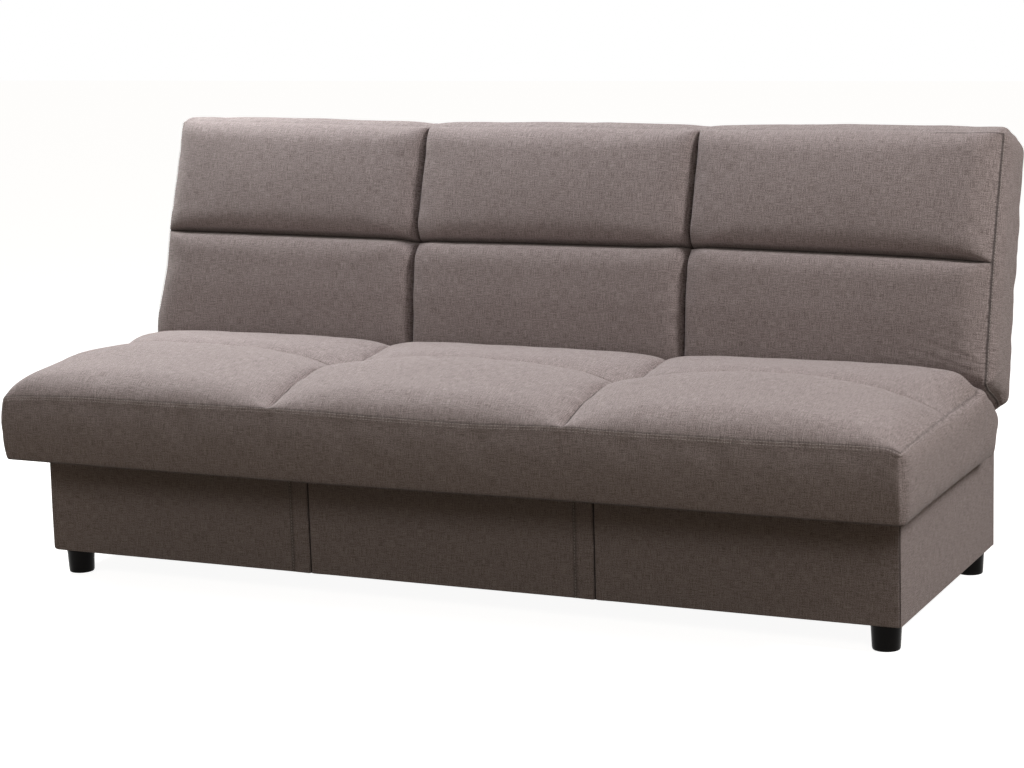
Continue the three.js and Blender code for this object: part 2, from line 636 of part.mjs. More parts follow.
function seatForm() {
  const tipY = HUB_Y + SEAT_TIP_OUT;
  const tipZ = HUB_Z + SEAT_TIP_RISE;
  const border = (share) => SEAT_FRONT_Y + HEM_TUCK * (1 - share) ** 3
    - BORDER_BULGE * (1 - (2 * share - 1) ** 2);
  const slope = ([along, down]) => [
    SEAT_REAR_Y + along * (tipY - SEAT_REAR_Y), SEAT_SEAM_Z - down * (SEAT_SEAM_Z - tipZ)];
  const tuck = ([back, down]) => [tipY - back * SEAT_TUCK, tipZ - down * (tipZ - SEAT_HEM_Z)];
  return {
    half: SEAT_W / 2,
    sideRound: SEAT_SIDE_ROUND,
    cornerRound: SEAT_CORNER_ROUND,
    seamOut: SEAT_SEAM_Z,
    faceOut: SEAT_TOP_Z,
    crown: SEAT_CROWN,
    seamsAlong: [SEAT_FRONT_Y, SEAT_SEAM_Y, SEAT_REAR_Y],
    roundFrom: SEAT_FRONT_Y,
    roundTo: SEAT_REAR_Y + SEAT_REAR_EASE,
    frontRound: SEAT_FRONT_ROUND,
    rearRound: SEAT_REAR_ROUND,
    edge: BORDER_SHARES.map((share) => [border(share), SEAT_HEM_Z + share * (SEAT_SEAM_Z - SEAT_HEM_Z)]),
    after: [...REAR_SLOPE_SHARES.map(slope), ...REAR_TUCK_SHARES.map(tuck)],
    base: [],
  };
}

function addSeatCushion() {
  const skin = cushionSkin(seatForm(), (x, along, out) => [x, along, out]);
  const reach = SEAT_W / 2 - SEAT_SKIN;
  const front = SEAT_FRONT_Y + SEAT_SKIN - FIT;
  const rear = SEAT_RAIL_REAR_Y + FIT;
  const low = SEAT_HEM_Z - OVERRUN;
  const cavity = [[front, low], [front, SEAT_CAVITY_Z - SEAT_CAVITY_BEVEL],
    [front + SEAT_CAVITY_BEVEL, SEAT_CAVITY_Z], [SEAT_REAR_Y, SEAT_CAVITY_Z],
    [rear, SEAT_REAR_CAVITY_Z], [rear, low]];
  const hollow = sweptAcross(outline(cavity), [-reach, reach]);
  const pockets = [-1, 1].map((side) => block(onSide(side, POCKET_IN_X, POCKET_OUT_X),
    [POCKET_Y, HUB_Y + RATCHET_R + OVERRUN], [low, SEAT_TOP_Z + OVERRUN]));
  addPiece('seat_cover', 'fabric', cutFrom(skin, hollow, ...pockets));
}

function addSeatFoam() {
  const low = SEAT_WEB_Z + WEB_T + FIT;
  const front = SEAT_FRONT_Y + SEAT_SKIN + FIT;
  const top = SEAT_CAVITY_Z - FOAM_GAP;
  const rear = POCKET_Y - FIT;
  const fall = (SEAT_CAVITY_Z - SEAT_REAR_CAVITY_Z) / (SEAT_RAIL_REAR_Y - SEAT_REAR_Y);
  const rearTop = top - fall * (rear - SEAT_REAR_Y + FOAM_GAP);
  const points = [[front, low], [front, SEAT_CAVITY_Z - SEAT_CAVITY_BEVEL - FOAM_GAP],
    [front + SEAT_CAVITY_BEVEL, top], [SEAT_REAR_Y - FOAM_GAP, top], [rear, rearTop], [rear, low]];
  const reach = SEAT_W / 2 - SEAT_SKIN - FIT;
  addPiece('seat_foam', 'foam', sweptAcross(outline(points), [-reach, reach]));
}

// Back arm: a flat bar up the side rail, with a notched ratchet disc around the hub
function backArm(across) {
  const bar = sweptAcross(roundBar([0, 0], [0, BACK_ARM_LEN], BACK_ARM_W / 2), across);
  const plate = joined(bar, sweptAcross(disc(0, 0, RATCHET_R), across, 16));
  const wide = [across[0] - OVERRUN, across[1] + OVERRUN];
  const notches = [0, RECLINE_ANGLE].map((turn) => {
    const angle = NOTCH_ANGLE + THREE.MathUtils.degToRad(LEAN + turn);
    const notch = block(wide, [RATCHET_R - NOTCH_DEPTH, RATCHET_R + OVERRUN], [-NOTCH_W / 2, NOTCH_W / 2]);
    return notch.rotateX(angle);
  });
  const bore = sweptAcross(disc(0, 0, BOLT_R + FIT), wide);
  return cutFrom(plate, bore, ...notches);
}

// Backrest frame, in the backrest's own axes: Y through its thickness, Z up its length
function addBackFrame() {
  const depth = [BACK_FRAME_FRONT_T, BACK_FRAME_REAR_T];
  const armReach = BACK_ARM_X - FIT;
  const railReach = BACK_RAIL_X - FIT;
  const inner = [BACK_FRAME_LOW_S + RAIL_T + FIT, BACK_FRAME_TOP_S - RAIL_T - FIT];
  const add = (name, finish, geometry) => addPiece(name, finish, geometry, backFrame);
  add('back_bottom_rail', 'timber',
    block([-armReach, armReach], depth, [BACK_FRAME_LOW_S, BACK_FRAME_LOW_S + RAIL_T]));
  add('back_top_rail', 'timber',
    block([-railReach, railReach], depth, [BACK_FRAME_TOP_S - RAIL_T, BACK_FRAME_TOP_S]));
  for (const [name, side] of [['left', -1], ['right', 1]]) {
    add(`back_${name}_rail`, 'timber',
      block(onSide(side, BACK_RAIL_X, BACK_RAIL_X + RAIL_T), depth, [BACK_FRAME_LOW_S, BACK_FRAME_TOP_S]));
    add(`back_arm_${name}`, 'steel', backArm(onSide(side, BACK_ARM_X, BACK_ARM_X + BACK_ARM_T)));
  }
  add('back_centre_slat', 'timber',
    block([-RAIL_T, RAIL_T], [BACK_FRAME_FRONT_T, BACK_FRAME_FRONT_T + RAIL_T], inner));
  const net = wovenStraps([-armReach, armReach], [BACK_FRAME_LOW_S, BACK_FRAME_TOP_S], [10, 3]);
  add('back_webbing', 'webbing', net.rotateX(Math.PI / 2).translate(0, BACK_FRAME_FRONT_T - FIT, 0));
}

// Backrest cover: deep-channelled 3 by 2 face, rounded top and lower end, open at the rear
const HEEL_SHARES = [[1, 0.93], [0.23, 0.48]];
const FOOT_SHARES = [[1, 0], [0.7, 0.21], [0.49, 0.5], [0.3, 0.86]];
const HEAD_SHARES = [[0.58, 0.04], [1, 0.37], [0.79, 0.81], [0.16, 0.975]];

function backForm() {
  const seamOut = -BACK_FACE_T - BACK_DOME;
  const tipS = BACK_LOW_S - BACK_FOOT;
  const heel = ([up, back]) => [tipS + up * BACK_HEEL, -BACK_FOOT_T - back * (BACK_REAR_T - BACK_FOOT_T)];
  const foot = ([down, out]) => [BACK_LOW_S - down * BACK_FOOT, -BACK_FOOT_T + out * (seamOut + BACK_FOOT_T)];
  const head = ([up, back]) => [BACK_TOP_S + up * BACK_HEAD, seamOut - back * (seamOut + BACK_REAR_T)];
  return {
    half: BACK_W / 2,
    sideRound: BACK_SIDE_ROUND,
    cornerRound: BACK_CORNER_ROUND,
    seamOut,
    faceOut: -BACK_FACE_T,
    crown: BACK_CROWN,
    seamsAlong: [BACK_LOW_S, BACK_SEAM_S, BACK_TOP_S],
    roundFrom: BACK_LOW_S - BACK_END_EASE,
    roundTo: BACK_TOP_S + BACK_END_EASE,
    frontRound: BACK_END_ROUND,
    rearRound: BACK_END_ROUND,
    edge: [...HEEL_SHARES.map(heel), ...FOOT_SHARES.map(foot)],
    after: HEAD_SHARES.map(head),
    base: [[BACK_TOP_S - BACK_HEAD_HEM, -BACK_REAR_T], [BACK_LOW_S - BACK_FOOT_HEM, -BACK_REAR_T]],
  };
}

function addBackCushion() {
  const skin = cushionSkin(backForm(), (x, along, out) => [x, -out, along]);
  const reach = BACK_W / 2 - BACK_SKIN;
  const low = BACK_FRAME_LOW_S - POCKET_CLEAR;
  const high = BACK_FRAME_TOP_S + POCKET_CLEAR;
  const bevel = BACK_CAVITY_BEVEL;
  const cavity = [[BACK_REAR_T + OVERRUN, low], [BACK_REAR_T + OVERRUN, high], [BACK_CAVITY_T + bevel, high],
    [BACK_CAVITY_T, high - bevel], [BACK_CAVITY_T, low + bevel], [BACK_CAVITY_T + bevel, low]];
  const hollow = sweptAcross(outline(cavity), [-reach, reach]);
  const slots = [-1, 1].map((side) => block(
    onSide(side, LINK_X - POCKET_CLEAR, BACK_ARM_X + BACK_ARM_T + POCKET_CLEAR),
    [-BACK_ARM_W / 2 - POCKET_CLEAR, BACK_REAR_T + OVERRUN], [0, BACK_FRAME_LOW_S - POCKET_CLEAR]));
  addPiece('back_cover', 'fabric', cutFrom(skin, hollow, ...slots), backFrame);
  const foamRear = BACK_FRAME_FRONT_T - WEB_T - 2 * FIT;
  const foam = [[foamRear, low + FOAM_GAP], [foamRear, high - FOAM_GAP],
    [BACK_CAVITY_T + bevel + FOAM_GAP, high - FOAM_GAP], [BACK_CAVITY_T + FOAM_GAP, high - bevel - FOAM_GAP],
    [BACK_CAVITY_T + FOAM_GAP, low + bevel + FOAM_GAP], [BACK_CAVITY_T + bevel + FOAM_GAP, low + FOAM_GAP]];
  const foamReach = reach - FIT;
  addPiece('back_foam', 'foam', sweptAcross(outline(foam), [-foamReach, foamReach]), backFrame);
  addPiece('back_rear_cover', 'fabric', block([-foamReach, foamReach],
    [BACK_REAR_T - BACK_PANEL_T - FIT, BACK_REAR_T - FIT], [low + FIT, high - FIT]), backFrame);
}

// Origin under the middle of the whole sofa, on the floor
function centreOverFloor() {
  sofa.updateMatrixWorld(true);
  const bounds = new THREE.Box3().setFromObject(sofa, true);
  sofa.position.y = -(bounds.min.y + bounds.max.y) / 2;
}

addBaseBoards();
addCornerPosts();
addBoxCovers();
addHinges();
addLiftFrame();
addLinks();
addSeatHardware();
addSeatFrame();
addSeatFoam();
addSeatCushion();
addBackFrame();
addBackCushion();
centreOverFloor();

export default sofa;
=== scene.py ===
# Click clack sofa bed on a pale studio floor.
# The frame gives every hard piece at its real place; this script dresses it. Metres throughout.
import math

import bmesh
import bpy
import numpy as np
from mathutils import Matrix, Vector
from mathutils.kdtree import KDTree


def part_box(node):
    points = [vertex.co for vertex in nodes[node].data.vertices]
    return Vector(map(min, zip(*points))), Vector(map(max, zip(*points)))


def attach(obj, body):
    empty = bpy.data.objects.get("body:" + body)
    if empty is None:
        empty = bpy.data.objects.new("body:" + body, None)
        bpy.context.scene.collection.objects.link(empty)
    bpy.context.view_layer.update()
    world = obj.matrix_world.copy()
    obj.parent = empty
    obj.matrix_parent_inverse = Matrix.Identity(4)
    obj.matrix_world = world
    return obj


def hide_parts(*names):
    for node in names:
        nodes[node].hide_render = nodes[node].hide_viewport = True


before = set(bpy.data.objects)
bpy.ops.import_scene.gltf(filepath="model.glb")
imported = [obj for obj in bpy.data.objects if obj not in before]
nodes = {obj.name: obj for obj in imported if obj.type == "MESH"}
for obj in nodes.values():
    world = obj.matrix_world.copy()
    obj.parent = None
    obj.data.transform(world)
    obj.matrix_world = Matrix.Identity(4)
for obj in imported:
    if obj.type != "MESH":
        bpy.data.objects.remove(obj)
scene = bpy.context.scene
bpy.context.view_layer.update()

# Camera.
# It stands well back to the right of the sofa's middle, a little over its top, with a long lens.
PHOTO_WIDTH = 1024
SENSOR_WIDTH = 36
FOCAL_PIXELS = 2570.6
LENS_SHIFT = (0.00573, 0.0003)
CAMERA_PLACE = Vector((2.2311, -4.7013, 1.3582))
CAMERA_AZIMUTH = math.radians(25.531)
CAMERA_ELEVATION = math.radians(10.485)
CAMERA_ROLL = math.radians(-1.764)

backward = Vector((math.sin(CAMERA_AZIMUTH) * math.cos(CAMERA_ELEVATION),
                   -math.cos(CAMERA_AZIMUTH) * math.cos(CAMERA_ELEVATION), math.sin(CAMERA_ELEVATION)))
level = Vector((0, 0, 1)).cross(backward).normalized()
upward = backward.cross(level)
camera_x = level * math.cos(CAMERA_ROLL) + upward * math.sin(CAMERA_ROLL)
camera_y = upward * math.cos(CAMERA_ROLL) - level * math.sin(CAMERA_ROLL)
turn = Matrix((camera_x, camera_y, backward)).transposed()
lens = bpy.data.cameras.new("camera")
lens.sensor_width = SENSOR_WIDTH
lens.lens = FOCAL_PIXELS / PHOTO_WIDTH * SENSOR_WIDTH
lens.shift_x, lens.shift_y = LENS_SHIFT
camera = bpy.data.objects.new("camera", lens)
camera.matrix_world = Matrix.Translation(CAMERA_PLACE) @ turn.to_4x4()
scene.collection.objects.link(camera)
scene.camera = camera
scene.view_settings.view_transform = "Standard"


# Studio floor, backdrop and lamps.
# A plain white floor and white surroundings for the camera, two broad lamps overhead, one at the
# right and two weak ones in front, and a dim warm fill that leaves the fronts darkest.
class Link:
    """A shader socket that reckons like a number."""

    def __init__(self, finish, socket):
        self.finish = finish
        self.socket = socket

    def math(self, operation, *values):
        return self.finish.node("ShaderNodeMath", {"operation": operation}, dict(enumerate(values)))

    def __add__(self, other):
        return self.math("ADD", self, other)

    def __sub__(self, other):
        return self.math("SUBTRACT", self, other)

    def __mul__(self, other):
        return self.math("MULTIPLY", self, other)

    def __rsub__(self, other):
        return self.math("SUBTRACT", other, self)

    __radd__ = __add__
    __rmul__ = __mul__

    def sine(self):
        return self.math("SINE", self)

    def clipped(self):
        return self.finish.node("ShaderNodeClamp", {}, {"Value": self, "Min": 0, "Max": 1})


class Finish:
    """A material, or the world, whose nodes are laid by one method."""

    def __init__(self, name, tree=None, **constants):
        if tree is None:
            self.material = bpy.data.materials.new(name)
            self.material.use_nodes = True
            tree = self.material.node_tree
        self.tree = tree
        tree.nodes.clear()
        if constants:
            self.shader = tree.nodes.new("ShaderNodeBsdfPrincipled")
            for key, value in constants.items():
                self.shader.inputs[key.replace("_", " ")].default_value = value
            self.show(self.shader.outputs[0])

    def node(self, kind, settings, values, output=0):
        made = self.tree.nodes.new(kind)
        for key, value in settings.items():
            setattr(made, key, value)
        for key, value in values.items():
            if isinstance(value, Link):
                self.tree.links.new(value.socket, made.inputs[key])
            else:
                made.inputs[key].default_value = value
        return Link(self, made.outputs[output])

    def feed(self, key, link):
        self.tree.links.new(link.socket, self.shader.inputs[key])

    def show(self, socket, kind="ShaderNodeOutputMaterial"):
        self.tree.links.new(socket, self.tree.nodes.new(kind).inputs[0])

    def noise(self, vector, scale, detail=2.0, roughness=0.5):
        return self.node("ShaderNodeTexNoise", {}, {
            "Vector": vector, "Scale": scale, "Detail": detail, "Roughness": roughness})

    def cells(self, vector, scale, output=0):
        return self.node("ShaderNodeTexVoronoi", {}, {"Vector": vector, "Scale": scale}, output)

    def stretched(self, vector, *scales):
        return self.node("ShaderNodeVectorMath", {"operation": "MULTIPLY"}, {0: vector, 1: scales})

    def blended(self, share, first, second, blend_type="MIX"):
        return self.node("ShaderNodeMix", {"data_type": "RGBA", "blend_type": blend_type}, {
            "Factor": share, 6: first, 7: second}, output=2)

    def object_places(self):
        return self.node("ShaderNodeTexCoord", {}, {}, output=3)

    def attribute(self, name, output):
        return self.node("ShaderNodeAttribute", {"attribute_name": name}, {}, output)

    def parts(self, vector):
        """The three parts of a vector."""
        split = self.tree.nodes.new("ShaderNodeSeparateXYZ")
        self.tree.links.new(vector.socket, split.inputs[0])
        return [Link(self, output) for output in split.outputs]

    def bumped(self, height, strength, distance):
        self.feed("Normal", self.node("ShaderNodeBump", {}, {
            "Height": height, "Strength": strength, "Distance": distance}))


FLOOR_REACH = 14
FLOOR_SEEN = (0.50, 0.50, 0.50, 1)
FLOOR_BOUNCE = (0.13, 0.105, 0.08, 1)
FLOOR_GLOW = 0.93
WHITE = (1, 1, 1, 1)
FILL_COLOUR = (1.0, 0.82, 0.57, 1)
FILL_STRENGTH = 0.125
# Each lamp's place, the point that it faces, its two sides, its watts and its colour.
LAMPS = {"overhead": ((-0.6, 0.15, 3.2), (-0.1, 0.05, 0.45), (2.8, 1.2), 40, (0.93, 0.94, 1.0)),
         "over_left": ((-1.8, 0.5, 2.2), (-0.3, 0.1, 0.5), (1.6, 1.0), 51, (1.0, 1.0, 0.97)),
         "right": ((3.3, -0.2, 2.9), (0.9, 0.0, 0.5), (0.9, 0.9), 80, (1.0, 0.95, 0.92)),
         "front_left": ((-1.9, -2.2, 1.7), (-0.4, -0.4, 0.3), (0.8, 0.8), 6.3, (1.0, 0.95, 0.89)),
         "front_right": ((1.9, -2.2, 1.7), (0.4, -0.4, 0.3), (0.8, 0.8), 7.4, (1.0, 0.95, 0.89))}


def seen_directly(finish):
    """1 where the camera, a mirror or glass looks, 0 for the light that bounces."""
    path = finish.tree.nodes.new("ShaderNodeLightPath")
    rays = [Link(finish, path.outputs[f"Is {kind} Ray"]) for kind in ("Camera", "Glossy", "Transmission")]
    return (rays[0] + rays[1] + rays[2]).clipped()


floor_finish = Finish("studio_floor")
seen = seen_directly(floor_finish)
floor_colour = floor_finish.blended(seen, FLOOR_BOUNCE, FLOOR_SEEN)
matt = floor_finish.node("ShaderNodeBsdfDiffuse", {}, {"Color": floor_colour})
glow = floor_finish.node("ShaderNodeEmission", {}, {"Strength": seen * FLOOR_GLOW})
floor_finish.show(floor_finish.node("ShaderNodeAddShader", {}, {0: matt, 1: glow}).socket)

floor_mesh = bpy.data.meshes.new("studio_floor")
floor_corners = [(x * FLOOR_REACH, y * FLOOR_REACH, 0) for x, y in ((-1, -1), (1, -1), (1, 1), (-1, 1))]
floor_mesh.from_pydata(floor_corners, [], [(0, 1, 2, 3)])
floor_mesh.materials.append(floor_finish.material)
floor = bpy.data.objects.new("studio_floor", floor_mesh)
scene.collection.objects.link(floor)

world = bpy.data.worlds.new("studio")
world.use_nodes = True
scene.world = world
surround = Finish("studio", tree=world.node_tree)
seen = seen_directly(surround)
sky = surround.node("ShaderNodeBackground", {}, {
    "Color": surround.blended(seen, FILL_COLOUR, WHITE),
    "Strength": seen * (1 - FILL_STRENGTH) + FILL_STRENGTH})
surround.show(sky.socket, "ShaderNodeOutputWorld")

for name, (place, aim, size, watts, colour) in LAMPS.items():
    lamp = bpy.data.lights.new(name, "AREA")
    lamp.shape = "RECTANGLE"
    lamp.size, lamp.size_y = size
    lamp.energy, lamp.color = watts, colour
    holder = bpy.data.objects.new(name, lamp)
    toward = Vector(aim) - Vector(place)
    holder.matrix_world = Matrix.Translation(place) @ toward.to_track_quat("-Z", "Y").to_matrix().to_4x4()
    scene.collection.objects.link(holder)


# Linen-look cloth.
# A taupe polyester weave with lighter and darker yarns, sewn over foam everywhere on the sofa.
# Each covered piece carries a "weave" map in metres, so the yarns follow the cloth.
CLOTH_DARK, CLOTH_LIGHT = (0.170, 0.1405, 0.1385, 1), (0.432, 0.375, 0.374, 1)
YARN_PITCH, YARN_RUN, YARN_WIDTH = 0.0014, 0.022, 0.0012
FLECK_SIZE, CLOUD_SIZE = 0.0017, 0.16
YARN_CONTRAST, FLECK_CONTRAST, CLOUD_CONTRAST = 1.35, 2.3, 0.12
YARN_RELIEF = 0.00022
THREAD_SHARE, FLECK_SHARE = 0.35, 0.6
PUCKER_RUN, PUCKER_WIDTH, PUCKER_RELIEF = 0.05, 0.0075, 0.0040
PULL_RUN, PULL_WIDTH, PULL_RELIEF = 0.13, 0.017, 0.005
PULL_SLANT = math.radians(13)
# How far painted shade darkens the cloth towards black where a piece marks a fold.
PAINTED_CREASE_SHADE = 0.8
BLACK = (0, 0, 0, 1)
THREAD_COLOUR = (0.50, 0.46, 0.44, 1)
TWIST_SCALE = 2500
STITCH_THICK, STITCH_PITCH, STITCH_LENGTH = 0.0016, 0.0062, 0.0050


def both_ways(finish, vector, run, width, detail):
    """Noise in long streaks, once along the map's first axis and once along its second."""
    ways = ((1 / run, 1 / width, 1), (1 / width, 1 / run, 1))
    return [finish.noise(finish.stretched(vector, *way), 1.0, detail) for way in ways]


cloth = Finish("upholstery", Roughness=0.9, Specular_IOR_Level=0.18, Sheen_Weight=0.12, Sheen_Roughness=0.45)
weave = cloth.node("ShaderNodeUVMap", {"uv_map": "weave"}, {})
across, along = both_ways(cloth, weave, YARN_RUN, YARN_WIDTH, 1.0)
fleck = cloth.noise(weave, 1 / FLECK_SIZE, 1.0)
cloud = cloth.noise(weave, 1 / CLOUD_SIZE)
tone = ((across + along - 1) * YARN_CONTRAST + (fleck - 0.5) * FLECK_CONTRAST
        + (cloud - 0.5) * CLOUD_CONTRAST + 0.5)
# Painted shade: the yarn colour is darkened towards black by each piece's fold attribute, along seams, hems
# and creases where shade falls.
painted_shade = cloth.blended(cloth.attribute("fold", 2) * PAINTED_CREASE_SHADE, WHITE, BLACK)
yarn = cloth.blended(tone.clipped(), CLOTH_DARK, CLOTH_LIGHT)
cloth.feed("Base Color", cloth.blended(1.0, yarn, painted_shade, "MULTIPLY"))
u, v = cloth.parts(weave)[:2]
threads = (u * (2 * math.pi / YARN_PITCH)).sine() * (v * (2 * math.pi / YARN_PITCH)).sine()
relief = (threads * THREAD_SHARE + across + along + fleck * FLECK_SHARE) * YARN_RELIEF
down_seams, over_seams, pulls = cloth.parts(cloth.attribute("pucker", 1))
down, over = both_ways(cloth, weave, PUCKER_RUN, PUCKER_WIDTH, 2.0)
outward_u = u.math("ABSOLUTE", u)
slanted = cloth.node("ShaderNodeCombineXYZ", {}, {
    "X": (outward_u * math.sin(PULL_SLANT) + v * math.cos(PULL_SLANT)) * (1 / PULL_WIDTH),
    "Y": (v * math.sin(PULL_SLANT) - outward_u * math.cos(PULL_SLANT)) * (1 / PULL_RUN)})
pulled = cloth.noise(slanted, 1.0, 1.0)
puckers = (down * down_seams + over * over_seams) * PUCKER_RELIEF
cloth.bumped(relief + puckers + pulled * pulls * PULL_RELIEF, 1.0, 1.0)
upholstery = cloth.material

thread = Finish("sewing_thread", Base_Color=THREAD_COLOUR, Roughness=0.6)
thread.bumped(thread.noise(thread.object_places(), TWIST_SCALE, 1.0), 0.3, 0.0002)


def placed_mesh(name, corners, faces, maps, material):
    """A finished mesh at its real place, with its weave map."""
    mesh = bpy.data.meshes.new(name)
    mesh.from_pydata([tuple(corner) for corner in corners], [], faces)
    mesh.materials.append(material)
    for face in mesh.polygons:
        face.use_smooth = True
    if maps is not None:
        layer = mesh.uv_layers.new(name="weave")
        flat = np.array([place for face in maps for place in face], np.float32)
        layer.data.foreach_set("uv", flat.ravel())
    piece = bpy.data.objects.new(name, mesh)
    scene.collection.objects.link(piece)
    return piece


def closed_skin(name, corners, faces, maps, material, sharp=None):
    """A closed mesh with its faces turned outwards, and sharp where it bends by more than the angle."""
    piece = placed_mesh(name, corners, faces, maps, material)
    shell = bmesh.new()
    shell.from_mesh(piece.data)
    bmesh.ops.recalc_face_normals(shell, faces=shell.faces)
    if shell.calc_volume(signed=True) < 0:
        bmesh.ops.reverse_faces(shell, faces=shell.faces)
    shell.to_mesh(piece.data)
    shell.free()
    if sharp is not None:
        piece.data.set_sharp_from_angle(angle=math.radians(sharp))
    return piece


def fitted(piece, body, slot, *replaced):
    """Fixes a finished piece to its body, in place of these nodes."""
    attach(piece, body)
    if replaced:
        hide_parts(*replaced)


def made_plain(piece):
    """Applies every modifier on the piece to its mesh."""
    evaluated = piece.evaluated_get(bpy.context.evaluated_depsgraph_get())
    solid = bpy.data.meshes.new_from_object(evaluated)
    piece.modifiers.clear()
    piece.data = solid
    piece.vertex_groups.clear()


def new_tree(name, entry, inputs, result):
    """An empty tree of geometry nodes, and the identifier of each named input."""
    tree = bpy.data.node_groups.new(name, "GeometryNodeTree")
    face = tree.interface
    face.new_socket(entry, in_out="INPUT", socket_type="NodeSocketGeometry")
    sockets = {}
    for key, kind in inputs.items():
        sockets[key] = face.new_socket(key, in_out="INPUT", socket_type=f"NodeSocket{kind}").identifier
    face.new_socket(result, in_out="OUTPUT", socket_type="NodeSocketGeometry")
    return tree, sockets


def joined(tree, *joins):
    """Links one node's output to another's input, for every join."""
    for start, output, end, entry in joins:
        tree.links.new(start.outputs[output], end.inputs[entry])


def grown(name, corners, edges, tree, sockets, values):
    """What the tree makes of the corners and edges, as a plain mesh."""
    mesh = bpy.data.meshes.new(name)
    mesh.from_pydata([tuple(corner) for corner in corners], edges, [])
    piece = bpy.data.objects.new(name, mesh)
    scene.collection.objects.link(piece)
    growth = piece.modifiers.new(name, "NODES")
    growth.node_group = tree
    for key, value in zip(sockets.values(), values):
        growth[key] = value
    made_plain(piece)
    return piece


def stitch_tree():
    """Geometry nodes that lay short threads along a line, one every spacing."""
    inputs = {"Spacing": "Float", "Length": "Float", "Thickness": "Float", "Thread": "Material"}
    tree, sockets = new_tree("stitches", "Line", inputs, "Stitches")
    new = tree.nodes.new
    given, given_out = new("NodeGroupInput"), new("NodeGroupOutput")
    line, spaced = new("GeometryNodeMeshToCurve"), new("GeometryNodeResampleCurve")
    spaced.mode = "LENGTH"
    bead, stretch = new("GeometryNodeMeshUVSphere"), new("GeometryNodeTransform")
    for key, value in (("Segments", 6), ("Rings", 4), ("Radius", 0.5)):
        bead.inputs[key].default_value = value
    size, tangent = new("ShaderNodeCombineXYZ"), new("GeometryNodeInputTangent")
    turned, laid = new("FunctionNodeAlignRotationToVector"), new("GeometryNodeInstanceOnPoints")
    real, coloured = new("GeometryNodeRealizeInstances"), new("GeometryNodeSetMaterial")
    turned.axis = "X"
    joined(tree, (given, "Line", line, "Mesh"), (line, "Curve", spaced, "Curve"),
           (given, "Spacing", spaced, "Length"),
           (given, "Length", size, "X"), (given, "Thickness", size, "Y"), (given, "Thickness", size, "Z"),
           (bead, "Mesh", stretch, "Geometry"), (size, "Vector", stretch, "Scale"),
           (tangent, "Tangent", turned, "Vector"), (spaced, "Curve", laid, "Points"),
           (stretch, "Geometry", laid, "Instance"), (turned, "Rotation", laid, "Rotation"),
           (laid, "Instances", real, "Geometry"), (real, "Geometry", coloured, "Geometry"),
           (given, "Thread", coloured, "Material"), (coloured, "Geometry", given_out, "Stitches"))
    return tree, sockets


stitches, stitch_sockets = stitch_tree()


def stitched(name, lines, body, thickness=STITCH_THICK, spacing=STITCH_PITCH, length=STITCH_LENGTH,
             material=thread.material, slot="upholstery"):
    """Rows of stitches, or of staples, along lines of places, as one piece."""
    corners, edges = [], []
    for line in lines:
        start = len(corners)
        corners += line
        edges += [(start + i, start + i + 1) for i in range(len(line) - 1)]
    piece = grown(name, corners, edges, stitches, stitch_sockets, (spacing, length, thickness, material))
    for polygon in piece.data.polygons:
        polygon.use_smooth = True
    fitted(piece, body, slot)


# Bedding box.
# Chipboard sides on a thin board floor, with softwood cleats and corner blocks glued and screwed
# into it. They show only when the seat is lifted.
SIDES, ENDS = ("left", "right"), ("front", "rear")
CHIP_SIZE, CHIP_DUST, CHIP_SHARE = 0.004, 900, 0.6
CHIP_DARK, CHIP_LIGHT = (0.30, 0.19, 0.10, 1), (0.50, 0.35, 0.21, 1)
GRAIN_LENGTH, GRAIN_WIDTH, BAND_GRAINS = 0.22, 0.006, 7
PINE_LIGHT, PINE_DARK = (0.62, 0.42, 0.22, 1), (0.44, 0.26, 0.11, 1)


def dressed(names, material):
    """Gives CAD nodes a finish in place of their plain one."""
    for name in names:
        nodes[name].data.materials.clear()
        nodes[name].data.materials.append(material)


def chipboard(name):
    board = Finish(name, Roughness=0.8, Specular_IOR_Level=0.25)
    here = board.object_places()
    flakes = board.node("ShaderNodeSeparateColor", {}, {0: board.cells(here, 1 / CHIP_SIZE, output=1)})
    tone = flakes * CHIP_SHARE + board.noise(here, CHIP_DUST) * (1 - CHIP_SHARE)
    board.feed("Base Color", board.blended(tone.clipped(), CHIP_DARK, CHIP_LIGHT))
    board.bumped(tone, 0.3, 0.0004)
    return board.material


def softwood(name, axis):
    """Planed pine with its grain along one axis."""
    wood = Finish(name, Roughness=0.62, Specular_IOR_Level=0.3)
    scales = [1 / GRAIN_WIDTH] * 3
    scales[axis] = 1 / GRAIN_LENGTH
    here = wood.object_places()
    grain = wood.noise(wood.stretched(here, *scales), 1.0, 4.0, 0.6)
    bands = wood.noise(wood.stretched(here, *(scale / BAND_GRAINS for scale in scales)), 1.0)
    lines = ((grain * 3 + bands * 14).sine() * 0.5 + 0.5) * 0.45 + grain * 0.55
    wood.feed("Base Color", wood.blended(lines.clipped(), PINE_LIGHT, PINE_DARK))
    wood.bumped(grain, 0.25, 0.0003)
    return wood.material


timber_x, timber_y, timber_z = (softwood(f"softwood_{letter}", axis) for axis, letter in enumerate("xyz"))
boards = ["box_floor_panel"] + [f"box_{part}_board" for part in (*ENDS, *SIDES)]
dressed(boards, chipboard("chipboard"))
dressed([f"box_{end}_cleat" for end in ENDS], timber_x)
dressed([f"corner_block_{end}_{side}" for end in ENDS for side in SIDES], timber_z)


